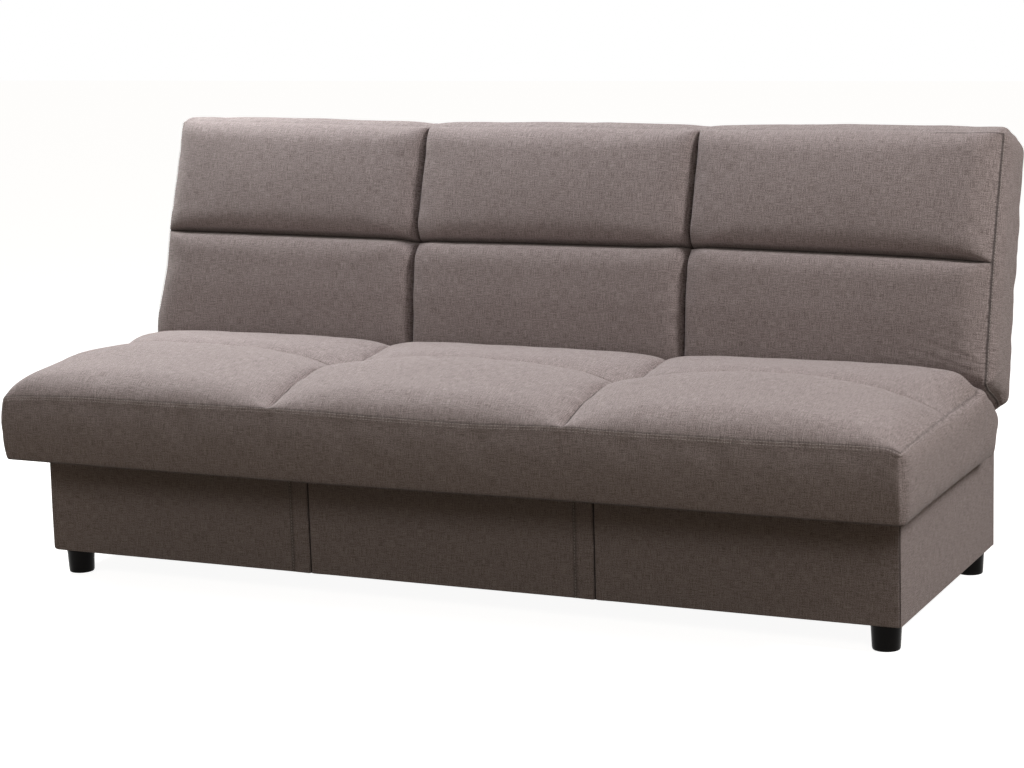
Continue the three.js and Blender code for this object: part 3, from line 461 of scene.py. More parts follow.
# Box cover.
# One strip of the cloth round the front and both sides, drawn tight over thin wadding, folded over
# the edges and stapled inside. Two narrow plackets are sewn down its front at the panel joins.
cover_low, cover_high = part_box("box_cover")
COVER_T = 0.0032
COVER_SHARP, PLACKET_SHARP = 45, 60
BOX_CORNER_R, CORNER_STEPS = 0.006, 7
BOX_HALF = cover_high.x
BOX_FRONT_Y = cover_low.y + 0.0025
PLACKET_W, PLACKET_T, PLACKET_CLEAR = 0.043, 0.0026, 0.015
PLACKET_X = (-0.3265, 0.297)
PLACKET_STEPS = 26
PLACKET_STITCH_IN, PLACKET_STITCH_THICK = 0.004, 0.0010
FOLD_DEPTH, FOLD_WIDTH = 0.0030, 0.0024
FOLD_STOPS = (-0.0022, -0.0009, 0, 0.0009, 0.0020, 0.006, 0.014)
FOLD_LIP, FOLD_LIP_WIDTH = 0.0012, 0.03
FOLD_X = [x + PLACKET_W / 2 + FOLD_WIDTH / 2 for x in PLACKET_X]
COVER_STEP, COVER_ROWS = 0.02, 12
COVER_EASE, EASE_FADE, SIDE_EASE = 0.0009, 0.03, 0.7
EDGE_TURN, EDGE_TURN_RISE = 0.0008, 0.0001
LOW_STEPS, HIGH_STEPS, COVER_EDGE = (0.0012, 0.0025, 0.0045, 0.0075), (0.004, 0.0012), 0.012
# How deep the corner seam is sunk, and how much painted shade darkens it.
CORNER_SEAM_DEPTH, CORNER_SEAM_PAINTED_SHADE = 0.0022, 0.85
CORNER_SEAM_X = BOX_HALF - CORNER_SEAM_DEPTH - 0.25 * BOX_CORNER_R
# How far painted shade reaches either side of a fold or seam on the box cover.
PAINTED_SHADE_REACH = 0.0012
# How far the loose cloth stands out at the left, at the bottom and at the top.
LEFT_BULK, LEFT_BULK_ROUND = (0.0068, 0.0048), 0.008


def ripple(a, b, seed):
    """A slow, gentle unevenness of drawn cloth, between -1 and 1."""
    phase = 1.7 * seed
    return (math.sin(9.1 * a + 5.3 * b + phase) + math.sin(23.7 * a - 11.9 * b + 2.1 * phase)
            + 0.6 * math.sin(41.3 * a + 29.0 * b + 0.7 * phase)) / 2.6


def lofted(sections):
    """Corners, faces and map places of closed sections joined one to the next, with both ends closed."""
    count = len(sections[0])
    corners = [p for section in sections for p in section]
    faces, maps = [], []
    run, along = [0.0], [0.0]
    for a, b in zip(sections[0], sections[0][1:] + sections[0][:1]):
        run.append(run[-1] + math.dist(a, b))
    for a, b in zip(sections, sections[1:]):
        along.append(along[-1] + math.dist(a[0], b[0]))
    for i in range(len(sections) - 1):
        low, high = along[i], along[i + 1]
        for j in range(count):
            k = (j + 1) % count
            faces.append((i * count + j, i * count + k, (i + 1) * count + k, (i + 1) * count + j))
            maps.append(((low, run[j]), (low, run[j + 1]), (high, run[j + 1]), (high, run[j])))
    for i in (0, len(sections) - 1):
        faces.append(tuple(i * count + j for j in range(count)))
        maps.append(tuple((x + y, z) for x, y, z in sections[i]))
    return corners, faces, maps


def front_stops():
    """Places along the front, close together beside each placket's fold."""
    stops = [-BOX_HALF + 2 * BOX_CORNER_R]
    for x, fold in zip(PLACKET_X, FOLD_X):
        stops += list(np.arange(stops[-1], x - PLACKET_W / 2 - PLACKET_CLEAR, COVER_STEP))[1:]
        stops += [x - PLACKET_W / 2, x, *(fold + step for step in FOLD_STOPS)]
    return stops + list(np.arange(stops[-1], BOX_HALF - 2 * BOX_CORNER_R, COVER_STEP))[1:]


def cover_path():
    """Places round the box seen from above, each with its outward direction."""
    side_y = np.arange(cover_high.y, BOX_FRONT_Y + BOX_CORNER_R, -COVER_STEP)
    path = [(-BOX_HALF, y, -1.0, 0.0) for y in side_y]
    for side, first in ((-1, math.pi), (1, 1.5 * math.pi)):
        for angle in np.linspace(first, first + math.pi / 2, CORNER_STEPS):
            out_x, out_y = math.cos(angle), math.sin(angle)
            path.append((side * (BOX_HALF - BOX_CORNER_R) + BOX_CORNER_R * out_x,
                         BOX_FRONT_Y + BOX_CORNER_R + BOX_CORNER_R * out_y, out_x, out_y))
        if side < 0:
            path += [(x, BOX_FRONT_Y, 0.0, -1.0) for x in front_stops()]
    return path + [(BOX_HALF, y, 1.0, 0.0) for y in side_y[::-1]]


def cover_section(x, y, out_x, out_y):
    low, high = cover_low.z, cover_high.z
    front = out_y < -0.99
    sink = 0.0
    for fold in FOLD_X if front else ():
        beside = x - fold
        sink += FOLD_DEPTH * math.exp(-(beside / (0.55 * FOLD_WIDTH)) ** 2)
        if 0 < beside < FOLD_LIP_WIDTH:
            sink -= FOLD_LIP * math.sin(math.pi * min(1, beside / FOLD_LIP_WIDTH)) ** 0.7
    if out_y < -0.6 and abs(out_x) > 0.6:
        sink += CORNER_SEAM_DEPTH
    heights = [*(low + step for step in LOW_STEPS),
               *np.linspace(low + COVER_EDGE, high - COVER_EDGE, COVER_ROWS),
               *(high - step for step in HIGH_STEPS)]
    outer = []
    for z in heights:
        flat = min(1, (z - low) / EASE_FADE, (high - z) / EASE_FADE)
        ease = COVER_EASE * flat * ripple(x - y, z, 3) * (1 if front else SIDE_EASE)
        near = min(1, min(z - low, high - z) / LEFT_BULK_ROUND)
        ease += max(0, -out_x) * np.interp(z, (low, high), LEFT_BULK) * math.sqrt(1 - (1 - near) ** 2)
        outer.append((ease - sink, z))
    ends = [(-EDGE_TURN - sink, high - EDGE_TURN_RISE), (-COVER_T, high), (-COVER_T, low),
            (-EDGE_TURN - sink, low + EDGE_TURN_RISE)]
    return [(x + out_x * n, y + out_y * n, z) for n, z in outer + ends]


def paint_crease_shade(piece, weights):
    """Paints shade into the cloth's colour at every corner, by the given weights, darkest in the bottoms of
    its folds.
    """
    piece.data.attributes.new("fold", "FLOAT", "POINT").data.foreach_set("value", weights)


def fold_painted_shade(place):
    """Painted shade: 1 at the bottom of a placket's fold, a little less in the sewn corner seam at the right.
    """
    at_front = place.y < BOX_FRONT_Y + FOLD_DEPTH + 0.001
    if at_front and min(abs(place.x - x) for x in FOLD_X) < PAINTED_SHADE_REACH:
        return 1.0
    from_corner = max(abs(place.x - CORNER_SEAM_X), abs(place.y - BOX_FRONT_Y - BOX_HALF + CORNER_SEAM_X))
    return CORNER_SEAM_PAINTED_SHADE if from_corner < PAINTED_SHADE_REACH else 0.0


box_cover = closed_skin("box_front_cover", *lofted([cover_section(*p) for p in cover_path()]), upholstery,
                        COVER_SHARP)
# Painted shade in the bottoms of the placket folds and in the right-hand corner seam.
paint_crease_shade(box_cover, [fold_painted_shade(v.co) for v in box_cover.data.vertices])
fitted(box_cover, "base", "upholstery", "box_cover")

# A placket's outline: its places across from the sewn edge, then from the open fold, and how far each
# stands out of the box. With them go how thick it is there, as a share, and how much painted shade darkens the
# cloth.
PLACKET_SEWN = ((0, 0, 0.5), (0, 0.0010, 0.6), (0.0012, 0.0018, 0.2), (0.0040, 0.0007, 0.55),
                (0.012, 0.0019, 0))
PLACKET_OPEN = ((0.010, 1, 0, 0), (0.003, 1, 0.0004, 0), (0.0008, 1, -0.0002, 0), (0, 1, -0.0010, 0.3),
                (0.0004, 0, 0, 0.6))
placket_painted_shades = [painted_shade for *place, painted_shade in PLACKET_SEWN + PLACKET_OPEN]
placket_seams = []
for side, middle in zip(SIDES, PLACKET_X):
    left, back_y = middle - PLACKET_W / 2, BOX_FRONT_Y + 0.0004
    sections = []
    for z in np.linspace(cover_low.z + 0.0006, cover_high.z - 0.0006, PLACKET_STEPS):
        wave = 0.0009 * math.sin(38 * z + 9 * middle) + 0.0005 * math.sin(91 * z)
        right = middle + PLACKET_W / 2 + wave
        thick = PLACKET_T * (1 + 0.15 * math.sin(57 * z + middle))
        section = [(left + step, back_y - out, z) for step, out, painted_shade in PLACKET_SEWN]
        section += [(right - step, back_y - share * thick - out, z)
                    for step, share, out, painted_shade in PLACKET_OPEN]
        sections.append(section)
    strip = closed_skin(f"placket_{side}", *lofted(sections), upholstery, PLACKET_SHARP)
    # Painted shade along the placket's sewn edge and in its open fold.
    paint_crease_shade(strip, placket_painted_shades * PLACKET_STEPS)
    fitted(strip, "base", "upholstery")
    placket_seams.append([(left + PLACKET_STITCH_IN, BOX_FRONT_Y - 0.0010, z)
                          for z in (cover_low.z + 0.002, cover_high.z - 0.002)])
stitched("placket_stitches", placket_seams, "base", PLACKET_STITCH_THICK)

rear_low, rear_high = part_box("box_rear_cover")
REAR_COLUMNS, REAR_ROWS, REAR_EDGE, REAR_ROUND = 60, 10, 0.0012, 0.001
rear_sections = []
for x in np.linspace(rear_low.x, rear_high.x, REAR_COLUMNS):
    heights = np.linspace(rear_low.z + REAR_EDGE, rear_high.z - REAR_EDGE, REAR_ROWS)
    outer = [(rear_high.y + 0.5 * COVER_EASE * ripple(x, z, 5), z) for z in heights]
    ends = [(rear_high.y - REAR_ROUND, rear_high.z), (rear_low.y, rear_high.z), (rear_low.y, rear_low.z),
            (rear_high.y - REAR_ROUND, rear_low.z)]
    rear_sections.append([(x, y, z) for y, z in outer + ends])
rear_cover = closed_skin("box_back_cover", *lofted(rear_sections), upholstery, COVER_SHARP)
fitted(rear_cover, "base", "upholstery", "box_rear_cover")


# Legs.
# Four moulded black plastic feet, turned in shape, a little narrower at the floor, each held by one
# screw up through the floor panel into its corner block.
LEG_SEGMENTS, LEG_SHARP = 48, 40
LEG_OUTLINE_SHARES = ((0.84, 0.0), (0.91, 0.012), (0.94, 0.05), (0.955, 0.10), (1.02, 0.80), (1.04, 0.90),
                      (1.05, 0.925), (1.05, 0.965), (1.03, 0.99), (1.0, 1.0))
PLASTIC_DARK, PLASTIC_LIGHT = (0.0022, 0.0017, 0.0016, 1), (0.0050, 0.0040, 0.0037, 1)

plastic = Finish("black_plastic", Roughness=0.28, Specular_IOR_Level=0.06)
here = plastic.object_places()
marks, scuffs = plastic.noise(here, 160, 3.0), plastic.noise(plastic.stretched(here, 90, 90, 900), 1.0)
plastic.feed("Base Color", plastic.blended(marks, PLASTIC_DARK, PLASTIC_LIGHT))
plastic.feed("Roughness", 0.20 + marks * 0.12 + scuffs * 0.10)
plastic.bumped(marks, 0.08, 0.0003)

for leg in [f"{end}_{side}" for end in ENDS for side in SIDES]:
    low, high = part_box(f"leg_{leg}")
    radius, height, middle = (high.x - low.x) / 2, high.z - low.z, (low + high) / 2
    rings = []
    for share, rise in LEG_OUTLINE_SHARES:
        angles = [2 * math.pi * n / LEG_SEGMENTS for n in range(LEG_SEGMENTS)]
        rings.append([(middle.x + share * radius * math.cos(a), middle.y + share * radius * math.sin(a),
                       low.z + rise * height) for a in angles])
    foot = closed_skin(f"foot_{leg}", *lofted(rings), plastic.material, LEG_SHARP)
    fitted(foot, "base", "leg_plastic", f"leg_{leg}")


# Hinges, lift frame and click clack linkage.
# Zinc-plated hinges and links with black painted steel brackets and arms, bolted together, and a
# welded angle frame that carries the seat.
STEEL_BLACK, STEEL_WORN = (0.018, 0.019, 0.021, 1), (0.10, 0.10, 0.105, 1)
ZINC_DARK, ZINC_LIGHT = (0.36, 0.37, 0.39, 1), (0.52, 0.52, 0.51, 1)


def painted_steel(name):
    steel = Finish(name, Roughness=0.42, Metallic=0.2)
    here = steel.object_places()
    peel = steel.noise(here, 700)
    worn = ((steel.noise(here, 35, 5.0, 0.7) - 0.60) * 9).clipped()
    steel.feed("Base Color", steel.blended(worn, STEEL_BLACK, STEEL_WORN))
    steel.feed("Roughness", 0.36 + peel * 0.16)
    steel.bumped(peel, 0.15, 0.0003)
    return steel.material


def zinc_plate(name):
    zinc = Finish(name, Metallic=1.0, Roughness=0.35)
    here = zinc.object_places()
    spangle, cloud = zinc.cells(here, 170), zinc.noise(here, 28, 3.0)
    zinc.feed("Base Color", zinc.blended(cloud, ZINC_DARK, ZINC_LIGHT))
    zinc.feed("Roughness", 0.26 + cloud * 0.16 + spangle * 0.12)
    zinc.bumped(cloud, 0.06, 0.0004)
    return zinc.material


black_steel, zinc = painted_steel("black_steel"), zinc_plate("zinc_steel")
ZINC_PARTS = ("hinge_leaf", "hinge_pin", "lift_strap", "link", "link_bolt", "hub_bolt", "pawl", "pawl_pin")
dressed([f"{part}_{side}" for part in ZINC_PARTS for side in SIDES], zinc)
dressed([f"{part}_{side}" for part in ("pivot_bracket", "seat_arm", "back_arm") for side in SIDES],
        black_steel)
dressed(["lift_frame"], black_steel)


def heads_tree():
    """Geometry nodes that set a screw head on every place."""
    inputs = {"Sides": "Int", "Radius": "Float", "Height": "Float", "Turn": "Vector", "Metal": "Material"}
    tree, sockets = new_tree("screw_heads", "Places", inputs, "Heads")
    new = tree.nodes.new
    given, given_out = new("NodeGroupInput"), new("NodeGroupOutput")
    head, laid = new("GeometryNodeMeshCylinder"), new("GeometryNodeInstanceOnPoints")
    turned, points = new("FunctionNodeEulerToRotation"), new("GeometryNodeMeshToPoints")
    real, coloured = new("GeometryNodeRealizeInstances"), new("GeometryNodeSetMaterial")
    joined(tree, (given, "Sides", head, "Vertices"), (given, "Radius", head, "Radius"),
           (given, "Height", head, "Depth"), (given, "Places", points, "Mesh"),
           (points, "Points", laid, "Points"),
           (head, "Mesh", laid, "Instance"), (given, "Turn", turned, 0), (turned, 0, laid, "Rotation"),
           (laid, "Instances", real, "Geometry"), (real, "Geometry", coloured, "Geometry"),
           (given, "Metal", coloured, "Material"), (coloured, "Geometry", given_out, "Heads"))
    return tree, sockets


screw_heads, head_sockets = heads_tree()
# Sides, radius and height of a head, and the turn that faces it along an axis.
SCREW, BOLT = (16, 0.0042, 0.0018), (6, 0.0055, 0.004)
FACING = {"x": (0.0, math.pi / 2, 0.0), "y": (math.pi / 2, 0.0, 0.0)}


def screwed(name, places, facing, body, head=SCREW):
    """Heads of screws or bolts, standing on the places along the x or y axis."""
    piece = grown(name, places, [], screw_heads, head_sockets, (*head, FACING[facing], zinc))
    fitted(piece, body, "zinc_steel")


LEAF_SCREW_IN, LEAF_SCREW_Z, LEAF_SCREW_LIFT = 0.012, (0.009, 0.024), 0.0025
BLOCK_SCREW_IN, BLOCK_SCREW_LOW, BLOCK_SCREW_HIGH = 0.035, 0.050, 0.020
CLEAT_SCREWS, CLEAT_SCREW_IN = 8, 0.05
ARM_BOLT_Y = (0.02, 0.07, 0.12)
leaf_screws, block_screws_x, block_screws_y = [], [], []
for side in SIDES:
    low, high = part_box(f"hinge_leaf_{side}")
    leaf_screws += [(x, low.y + LEAF_SCREW_LIFT, low.z + z)
                    for x in (low.x + LEAF_SCREW_IN, high.x - LEAF_SCREW_IN)
                    for z in LEAF_SCREW_Z]
    for end in ENDS:
        low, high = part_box(f"corner_block_{end}_{side}")
        middle = (low + high) / 2
        inner_x = high.x if side == "left" else low.x
        inner_y = high.y if end == "front" else low.y
        block_screws_x += [(inner_x, middle.y, z) for z in (low.z + BLOCK_SCREW_IN, high.z - BLOCK_SCREW_IN)]
        block_screws_y += [(middle.x, inner_y, z) for z in (low.z + BLOCK_SCREW_LOW,
                                                            high.z - BLOCK_SCREW_HIGH)]
for end in ENDS:
    low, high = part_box(f"box_{end}_cleat")
    inner_y = high.y if end == "front" else low.y
    block_screws_y += [(x, inner_y, (low.z + high.z) / 2)
                       for x in np.linspace(low.x + CLEAT_SCREW_IN, high.x - CLEAT_SCREW_IN, CLEAT_SCREWS)]
screwed("hinge_screws", leaf_screws, "y", "base")
screwed("box_side_screws", block_screws_x, "x", "base")
screwed("box_end_screws", block_screws_y, "y", "base")
for side in SIDES:
    low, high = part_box(f"seat_arm_{side}")
    inner_x = high.x if side == "left" else low.x
    bolts = [(inner_x, low.y + step, (low.z + high.z) / 2) for step in ARM_BOLT_Y]
    screwed(f"seat_arm_screws_{side}", bolts, "x", "seat", BOLT)


# Seat frame.
# Glued softwood rails, a net of elastic webbing stapled over them, and a thin black non-woven dust
# cover stapled underneath.
RIB_PITCH, CROSS_PITCH_SHARE, WEB_FIBRE = 0.012, 0.3, 800
WEB_BLACK, WEB_PALE = (0.025, 0.025, 0.027, 1), (0.42, 0.41, 0.38, 1)
FELT_BLACK, FELT_PALE, FELT_FIBRE, FELT_DOTS = (0.012, 0.012, 0.012, 1), (0.035, 0.034, 0.033, 1), 1100, 420


def webbing_cloth(name):
    """Black elastic webbing with pale lines along it."""
    web = Finish(name, Roughness=0.85)
    here = web.object_places()
    x, y = web.parts(here)[:2]
    ribs = (y * (2 * math.pi / RIB_PITCH)).sine()
    cross = (x * (2 * math.pi / (CROSS_PITCH_SHARE * RIB_PITCH))).sine()
    fibre = web.noise(here, WEB_FIBRE)
    tone = ((ribs - 0.82) * 6).clipped() * 0.7 + fibre * 0.3
    web.feed("Base Color", web.blended(tone.clipped(), WEB_BLACK, WEB_PALE))
    web.bumped(ribs * 0.5 + cross * 0.3 + fibre, 0.4, 0.0006)
    return web.material


def nonwoven_felt(name):
    felt = Finish(name, Roughness=0.95, Specular_IOR_Level=0.15)
    here = felt.object_places()
    fibre = felt.noise(here, FELT_FIBRE, 3.0)
    felt.feed("Base Color", felt.blended(fibre, FELT_BLACK, FELT_PALE))
    felt.bumped(fibre + felt.cells(here, FELT_DOTS), 0.5, 0.0005)
    return felt.material


webbing = webbing_cloth("webbing")
dressed(["seat_webbing"], webbing)
dressed(["seat_dust_cover"], nonwoven_felt("lining"))
dressed(["seat_front_rail", "seat_rear_rail"], timber_x)
dressed(["seat_centre_slat"] + [f"seat_{rail}" for side in SIDES
                                for rail in (f"{side}_rail", f"inner_rail_{side}")],
        timber_y)


# Cushion skins.
# Seat and back are foam blocks in a sewn cover: a front-to-back skin over the width, and a side band
# sewn in at each end. The cover is drawn down at its seams and swells between them.
SEAM_STEPS = (0.0022, 0.005, 0.010, 0.018)
BAND_SHARES = (0, 0.10, 0.21, 0.32, 0.43, 0.54, 0.65, 0.76, 0.86, 0.93, 0.975, 1)
BAND_ROWS = len(BAND_SHARES) - 1
END_STEPS, END_CLEAR = (0, 0.0022, 0.006, 0.012, 0.022), 0.009
STATION_STEP = 0.022
CAP_ROUND, CAP_EASE = 0.024, 0.0012
# How far painted shade spreads from a sewn fold, and how far puckers reach from a seam.
PAINTED_FOLD_REACH, PUCKER_REACH = 0.0011, 0.016
CURVE_STEPS, TABLE_STEPS, LINE_STEPS = 12, 160, 16
PUFF_PRESSURE, PUFF_MOST, PUFF_SHRINK, PUFF_QUALITY, PUFF_MOMENTS = 4.0, 0.0035, -0.006, 5, 20
SLOT_FACES = ((0, 1, 3, 2), (4, 6, 7, 5), (0, 4, 5, 1), (2, 3, 7, 6), (0, 2, 6, 4), (1, 5, 7, 3))
SLOT_SHARP = 50
THREAD_LIFT = 0.0006


def places_between(seams, step):
    """Places from seam to seam, close together beside each seam."""
    found = []
    for low, high in zip(seams, seams[1:]):
        count = max(2, round((high - low - 2 * SEAM_STEPS[-1]) / step))
        middle = np.linspace(low + SEAM_STEPS[-1], high - SEAM_STEPS[-1], count + 1)
        found += [low, *(low + s for s in SEAM_STEPS[:-1]), *middle, *(high - s for s in SEAM_STEPS[-2::-1])]
    return np.array([*found, seams[-1]])


def with_ends(seams):
    """Stations over the width, close together beside each seam and closer still at both ends."""
    low, high = seams[0], seams[-1]
    clear = END_STEPS[-1] + END_CLEAR
    inner = [x for x in places_between(seams, STATION_STEP) if low + clear < x < high - clear]
    return np.array(sorted({*(low + step for step in END_STEPS), *(high - step for step in END_STEPS),
                            *inner}))


def nearest(places, wanted):
    return int(np.argmin(np.abs(places - wanted)))


def path_through(points, count, shares=None):
    """Places on a smooth line through the points, evenly spaced or at the shares of its length."""
    points = np.array(points, float)
    padded = np.vstack([2 * points[0] - points[1], points, 2 * points[-1] - points[-2]])
    fine = []
    for a, b, c, d in zip(padded, padded[1:], padded[2:], padded[3:]):
        for t in np.linspace(0, 1, CURVE_STEPS, endpoint=False):
            fine.append(0.5 * (2 * b + (c - a) * t + (2 * a - 5 * b + 4 * c - d) * t ** 2
                               + (3 * b - a - 3 * c + d) * t ** 3))
    fine = np.array([*fine, points[-1]])
    run = np.concatenate([[0], np.cumsum(np.linalg.norm(np.diff(fine, axis=0), axis=1))])
    wanted = run[-1] * (np.linspace(0, 1, count + 1) if shares is None else np.array(shares))
    return np.stack([np.interp(wanted, run, fine[:, k]) for k in range(fine.shape[1])], 1)


def band_through(points):
    """A band's places down a smooth line, close together beside its seams."""
    return path_through(points, BAND_ROWS, 1 - np.array(BAND_SHARES)[::-1])


def table_through(*points):
    """A smooth line through the points, as a table to read off."""
    return path_through(points, TABLE_STEPS)


def read_off(place, table):
    """Every later column of the table, at a place along its first."""
    return [np.interp(place, table[:, 0], table[:, k]) for k in range(1, table.shape[1])]


def interpolated(place, table):
    return np.interp(place, *zip(*table))


def quarter_round(distance, radius):
    near = np.clip(distance / radius, 0, 1)
    return np.sqrt(1 - (1 - near) ** 2)


class CushionSkin:
    """Rings side by side over the width, each `rows` up, `cols` over, `rows` down and `cols` back."""

    def __init__(self, rings, rows, cols, bulges):
        self.rings = np.array(rings)
        self.rows, self.cols = rows, cols
        self.last, self.count = len(rings) - 1, self.rings.shape[1]
        self.points = list(self.rings.reshape(-1, 3))
        self.faces, self.maps = [], []
        middle = self.rings[len(rings) // 2]
        steps = np.linalg.norm(np.diff(middle, axis=0, append=middle[:1]), axis=1)
        run = np.concatenate([[0], np.cumsum(steps)])
        self.up = run[:rows + 1] / run[rows]
        self.over = (run[rows:rows + cols + 1] - run[rows]) / (run[rows + cols] - run[rows])
        for i in range(self.last):
            low, high = self.rings[i, 0, 0], self.rings[i + 1, 0, 0]
            for j in range(self.count):
                self.faces.append([self.at(i, j), self.at(i, j + 1), self.at(i + 1, j + 1), self.at(i + 1, j)])
                self.maps.append([(low, run[j]), (low, run[j + 1]), (high, run[j + 1]), (high, run[j])])
        self.close_end(0, -1, bulges[0])
        self.close_end(self.last, 1, bulges[1])

    def at(self, i, j):
        return i * self.count + j % self.count

    def row(self, j, first=0):
        return [self.at(i, j) for i in range(first, self.last + 1)]

    def column(self, i, start, stop):
        return [self.at(i, j) for j in range(start, stop)]

    def sewn(self, rows, columns, start, stop):
        """All corners of these rows, of both ends, and of these columns from start to stop."""
        lines = [self.row(j) for j in rows] + [self.column(i, 0, self.count) for i in (0, self.last)]
        lines += [self.column(i, start, stop + 1) for i in columns]
        return sorted({corner for line in lines for corner in line})

    def end_index(self, i, row, col):
        """The ring's corner at this place on the rim of an end face, or None inside it."""
        if col == 0:
            return self.at(i, row)
        if row == self.rows:
            return self.at(i, self.rows + col)
        if col == self.cols:
            return self.at(i, 2 * self.rows + self.cols - row)
        if row == 0:
            return self.at(i, 2 * self.rows + 2 * self.cols - col)
        return None

    def cap_point(self, ring, row, col, side, bulge):
        """A place inside an end face: between the four sides of its rim, and pushed out by the bulge."""
        rim = lambda row, col: np.array(ring[self.end_index(0, row, col)])
        u, v = self.over[col], self.up[row]
        point = (1 - v) * rim(0, col) + v * rim(self.rows, col)
        point = point + (1 - u) * rim(row, 0) + u * rim(row, self.cols)
        point -= ((1 - u) * (1 - v) * rim(0, 0) + u * (1 - v) * rim(0, self.cols)
                  + (1 - u) * v * rim(self.rows, 0) + u * v * rim(self.rows, self.cols))
        from_rim = np.min(np.linalg.norm(ring[:, 1:] - point[1:], axis=1))
        stands = interpolated(point[1], bulge) + CAP_EASE * ripple(3.1 * point[1], 3.1 * point[2], 6)
        point[0] += side * stands * quarter_round(from_rim, CAP_ROUND)
        return point

    def close_end(self, i, side, bulge):
        place = {}
        for row in range(self.rows + 1):
            for col in range(self.cols + 1):
                known = self.end_index(i, row, col)
                if known is None:
                    known = len(self.points)
                    self.points.append(self.cap_point(self.rings[i], row, col, side, bulge))
                place[row, col] = known
        for row in range(self.rows):
            for col in range(self.cols):
                corners = [place[row, col], place[row + 1, col], place[row + 1, col + 1], place[row, col + 1]]
                if side < 0:
                    corners.reverse()
                self.faces.append(corners)
                self.maps.append([(self.points[c][2], self.points[c][1]) for c in corners])


def puffed(piece, sewn):
    """Blows the cover up between its sewn lines, and keeps how far each point moved within bounds."""
    group = piece.vertex_groups.new(name="sewn")
    group.add(sewn, 1.0, "ADD")
    cover = piece.modifiers.new("puff", "CLOTH")
    cover.settings.vertex_group_mass = "sewn"
    cover.settings.quality = PUFF_QUALITY
    cover.settings.use_pressure = True
    cover.settings.uniform_pressure_force = PUFF_PRESSURE
    cover.settings.shrink_min = PUFF_SHRINK
    cover.settings.effector_weights.gravity = 0
    cover.point_cache.frame_start, cover.point_cache.frame_end = 1, PUFF_MOMENTS
    for moment in range(1, PUFF_MOMENTS + 1):
        scene.frame_set(moment)
    swollen = piece.evaluated_get(bpy.context.evaluated_depsgraph_get()).data
    start = np.array([v.co for v in piece.data.vertices])
    moved = np.array([v.co for v in swollen.vertices]) - start
    reach = np.linalg.norm(moved, axis=1, keepdims=True)
    held = PUFF_MOST * np.tanh(reach / PUFF_MOST) / np.maximum(reach, 1e-9)
    piece.modifiers.remove(cover)
    scene.frame_set(1)
    piece.data.vertices.foreach_set("co", np.array(start + moved * held, np.float32).ravel())
    piece.data.update()


def smoothed(piece):
    """Subdivides the cushion once, and gives the places and directions of its corners."""
    smooth = piece.modifiers.new("smooth", "SUBSURF")
    smooth.levels = smooth.render_levels = 1
    made_plain(piece)
    for face in piece.data.polygons:
        face.use_smooth = True
    return [np.array([getattr(v, kind) for v in piece.data.vertices]) for kind in ("co", "normal")]


def slotted(piece, reach, low, high, lean=0.0, hinge=(0, 0, 0)):
    """Cuts a box-shaped slot for the hinge plates through each end of a finished cushion."""
    for side in (-1, 1):
        corners = [(x, y, z) for x in sorted(side * x for x in reach) for y in (low[0], high[0])
                   for z in (low[1], high[1])]
        tilt = Matrix.Translation(hinge) @ Matrix.Rotation(-lean, 4, "X")
        block = placed_mesh("slot", [tilt @ Vector(c) for c in corners], SLOT_FACES, None, upholstery)
        cut = piece.modifiers.new("slot", "BOOLEAN")
        cut.operation, cut.solver, cut.object = "DIFFERENCE", "EXACT", block
        made_plain(piece)
        bpy.data.objects.remove(block)
    piece.data.set_sharp_from_angle(angle=math.radians(SLOT_SHARP))


def nearness(places, lines, reach, weights):
    """The line's weight on each line of places, falling to 0 beyond the reach."""
    points = [point for line in lines for point in line]
    weights = [weight for line, weight in zip(lines, weights) for point in line]
    tree = KDTree(len(points))
    for index, point in enumerate(points):
        tree.insert(point, index)
    tree.balance()
    found = [tree.find(place)[1:] for place in places]
    return [weights[index] * math.exp(-(distance / reach) ** 2) for index, distance in found]


def close_set(lines, places):
    """Lines of corner numbers as close-set lines of places."""
    found = []
    for line in lines:
        line = [Vector(places[index]) for index in line]
        found.append([a.lerp(b, share) for a, b in zip(line, line[1:])
                      for share in np.linspace(0, 1, LINE_STEPS, endpoint=False)])
    return found


def puckered(piece, places, down, over, painted_folds, pulls=()):
    """Marks where the cloth puckers, beside seams that run down or over and at pulls, and paints shade into
    its colour along its sewn folds.
    """
    now = [v.co.copy() for v in piece.data.vertices]
    marks = np.zeros((len(now), 3), np.float32)
    for part, lines in enumerate((down, over)):
        marks[:, part] = nearness(now, close_set(lines, places), PUCKER_REACH, [1] * len(lines))
    for centre, size in pulls:
        marks[:, 2] += [math.exp(-sum(((a - b) / s) ** 2 for a, b, s in zip(place, centre, size)))
                        for place in now]
    layer = piece.data.attributes.new("pucker", "FLOAT_VECTOR", "POINT")
    layer.data.foreach_set("vector", marks.ravel())
    lines, painted_darkness = zip(*painted_folds)
    paint_crease_shade(piece, nearness(now, close_set(lines, places), PAINTED_FOLD_REACH, painted_darkness))


def beside(line, places, normals, *shift):
    """Places just over the cloth, moved sideways from a seam by the shift."""
    return [places[index] + normals[index] * THREAD_LIFT + np.array(shift) for index in line]


# Seat cushion.
# Foam on a timber frame in a sewn cover: a top skin in three by two panels that domes over each one,
# a front border, and a side band at each end. The rear end slopes down under the backrest.
seat_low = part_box("seat_cover")[0]
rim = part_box("lift_frame")[1].z
SEAT_SEAMS = (-0.960, -0.327, 0.305, 0.954)
SEAT_SEAM_Z = rim + 0.1435
BORDER_TUCK, BORDER_SWELL, BORDER_EASE = 0.003, 0.0055, 0.0012
SEAT_FRONT = seat_low.y + BORDER_SWELL
SEAT_DEPTH, CROSS_DEPTH = 0.547, 0.332
SEAT_REAR, SEAT_CROSS_SEAM = SEAT_FRONT + SEAT_DEPTH, SEAT_FRONT + CROSS_DEPTH
SEAT_UNDER_Z = rim + 0.00318
SEAT_LIP = 0.022
SEAT_TIP = (SEAT_REAR + 0.156, rim + 0.068)
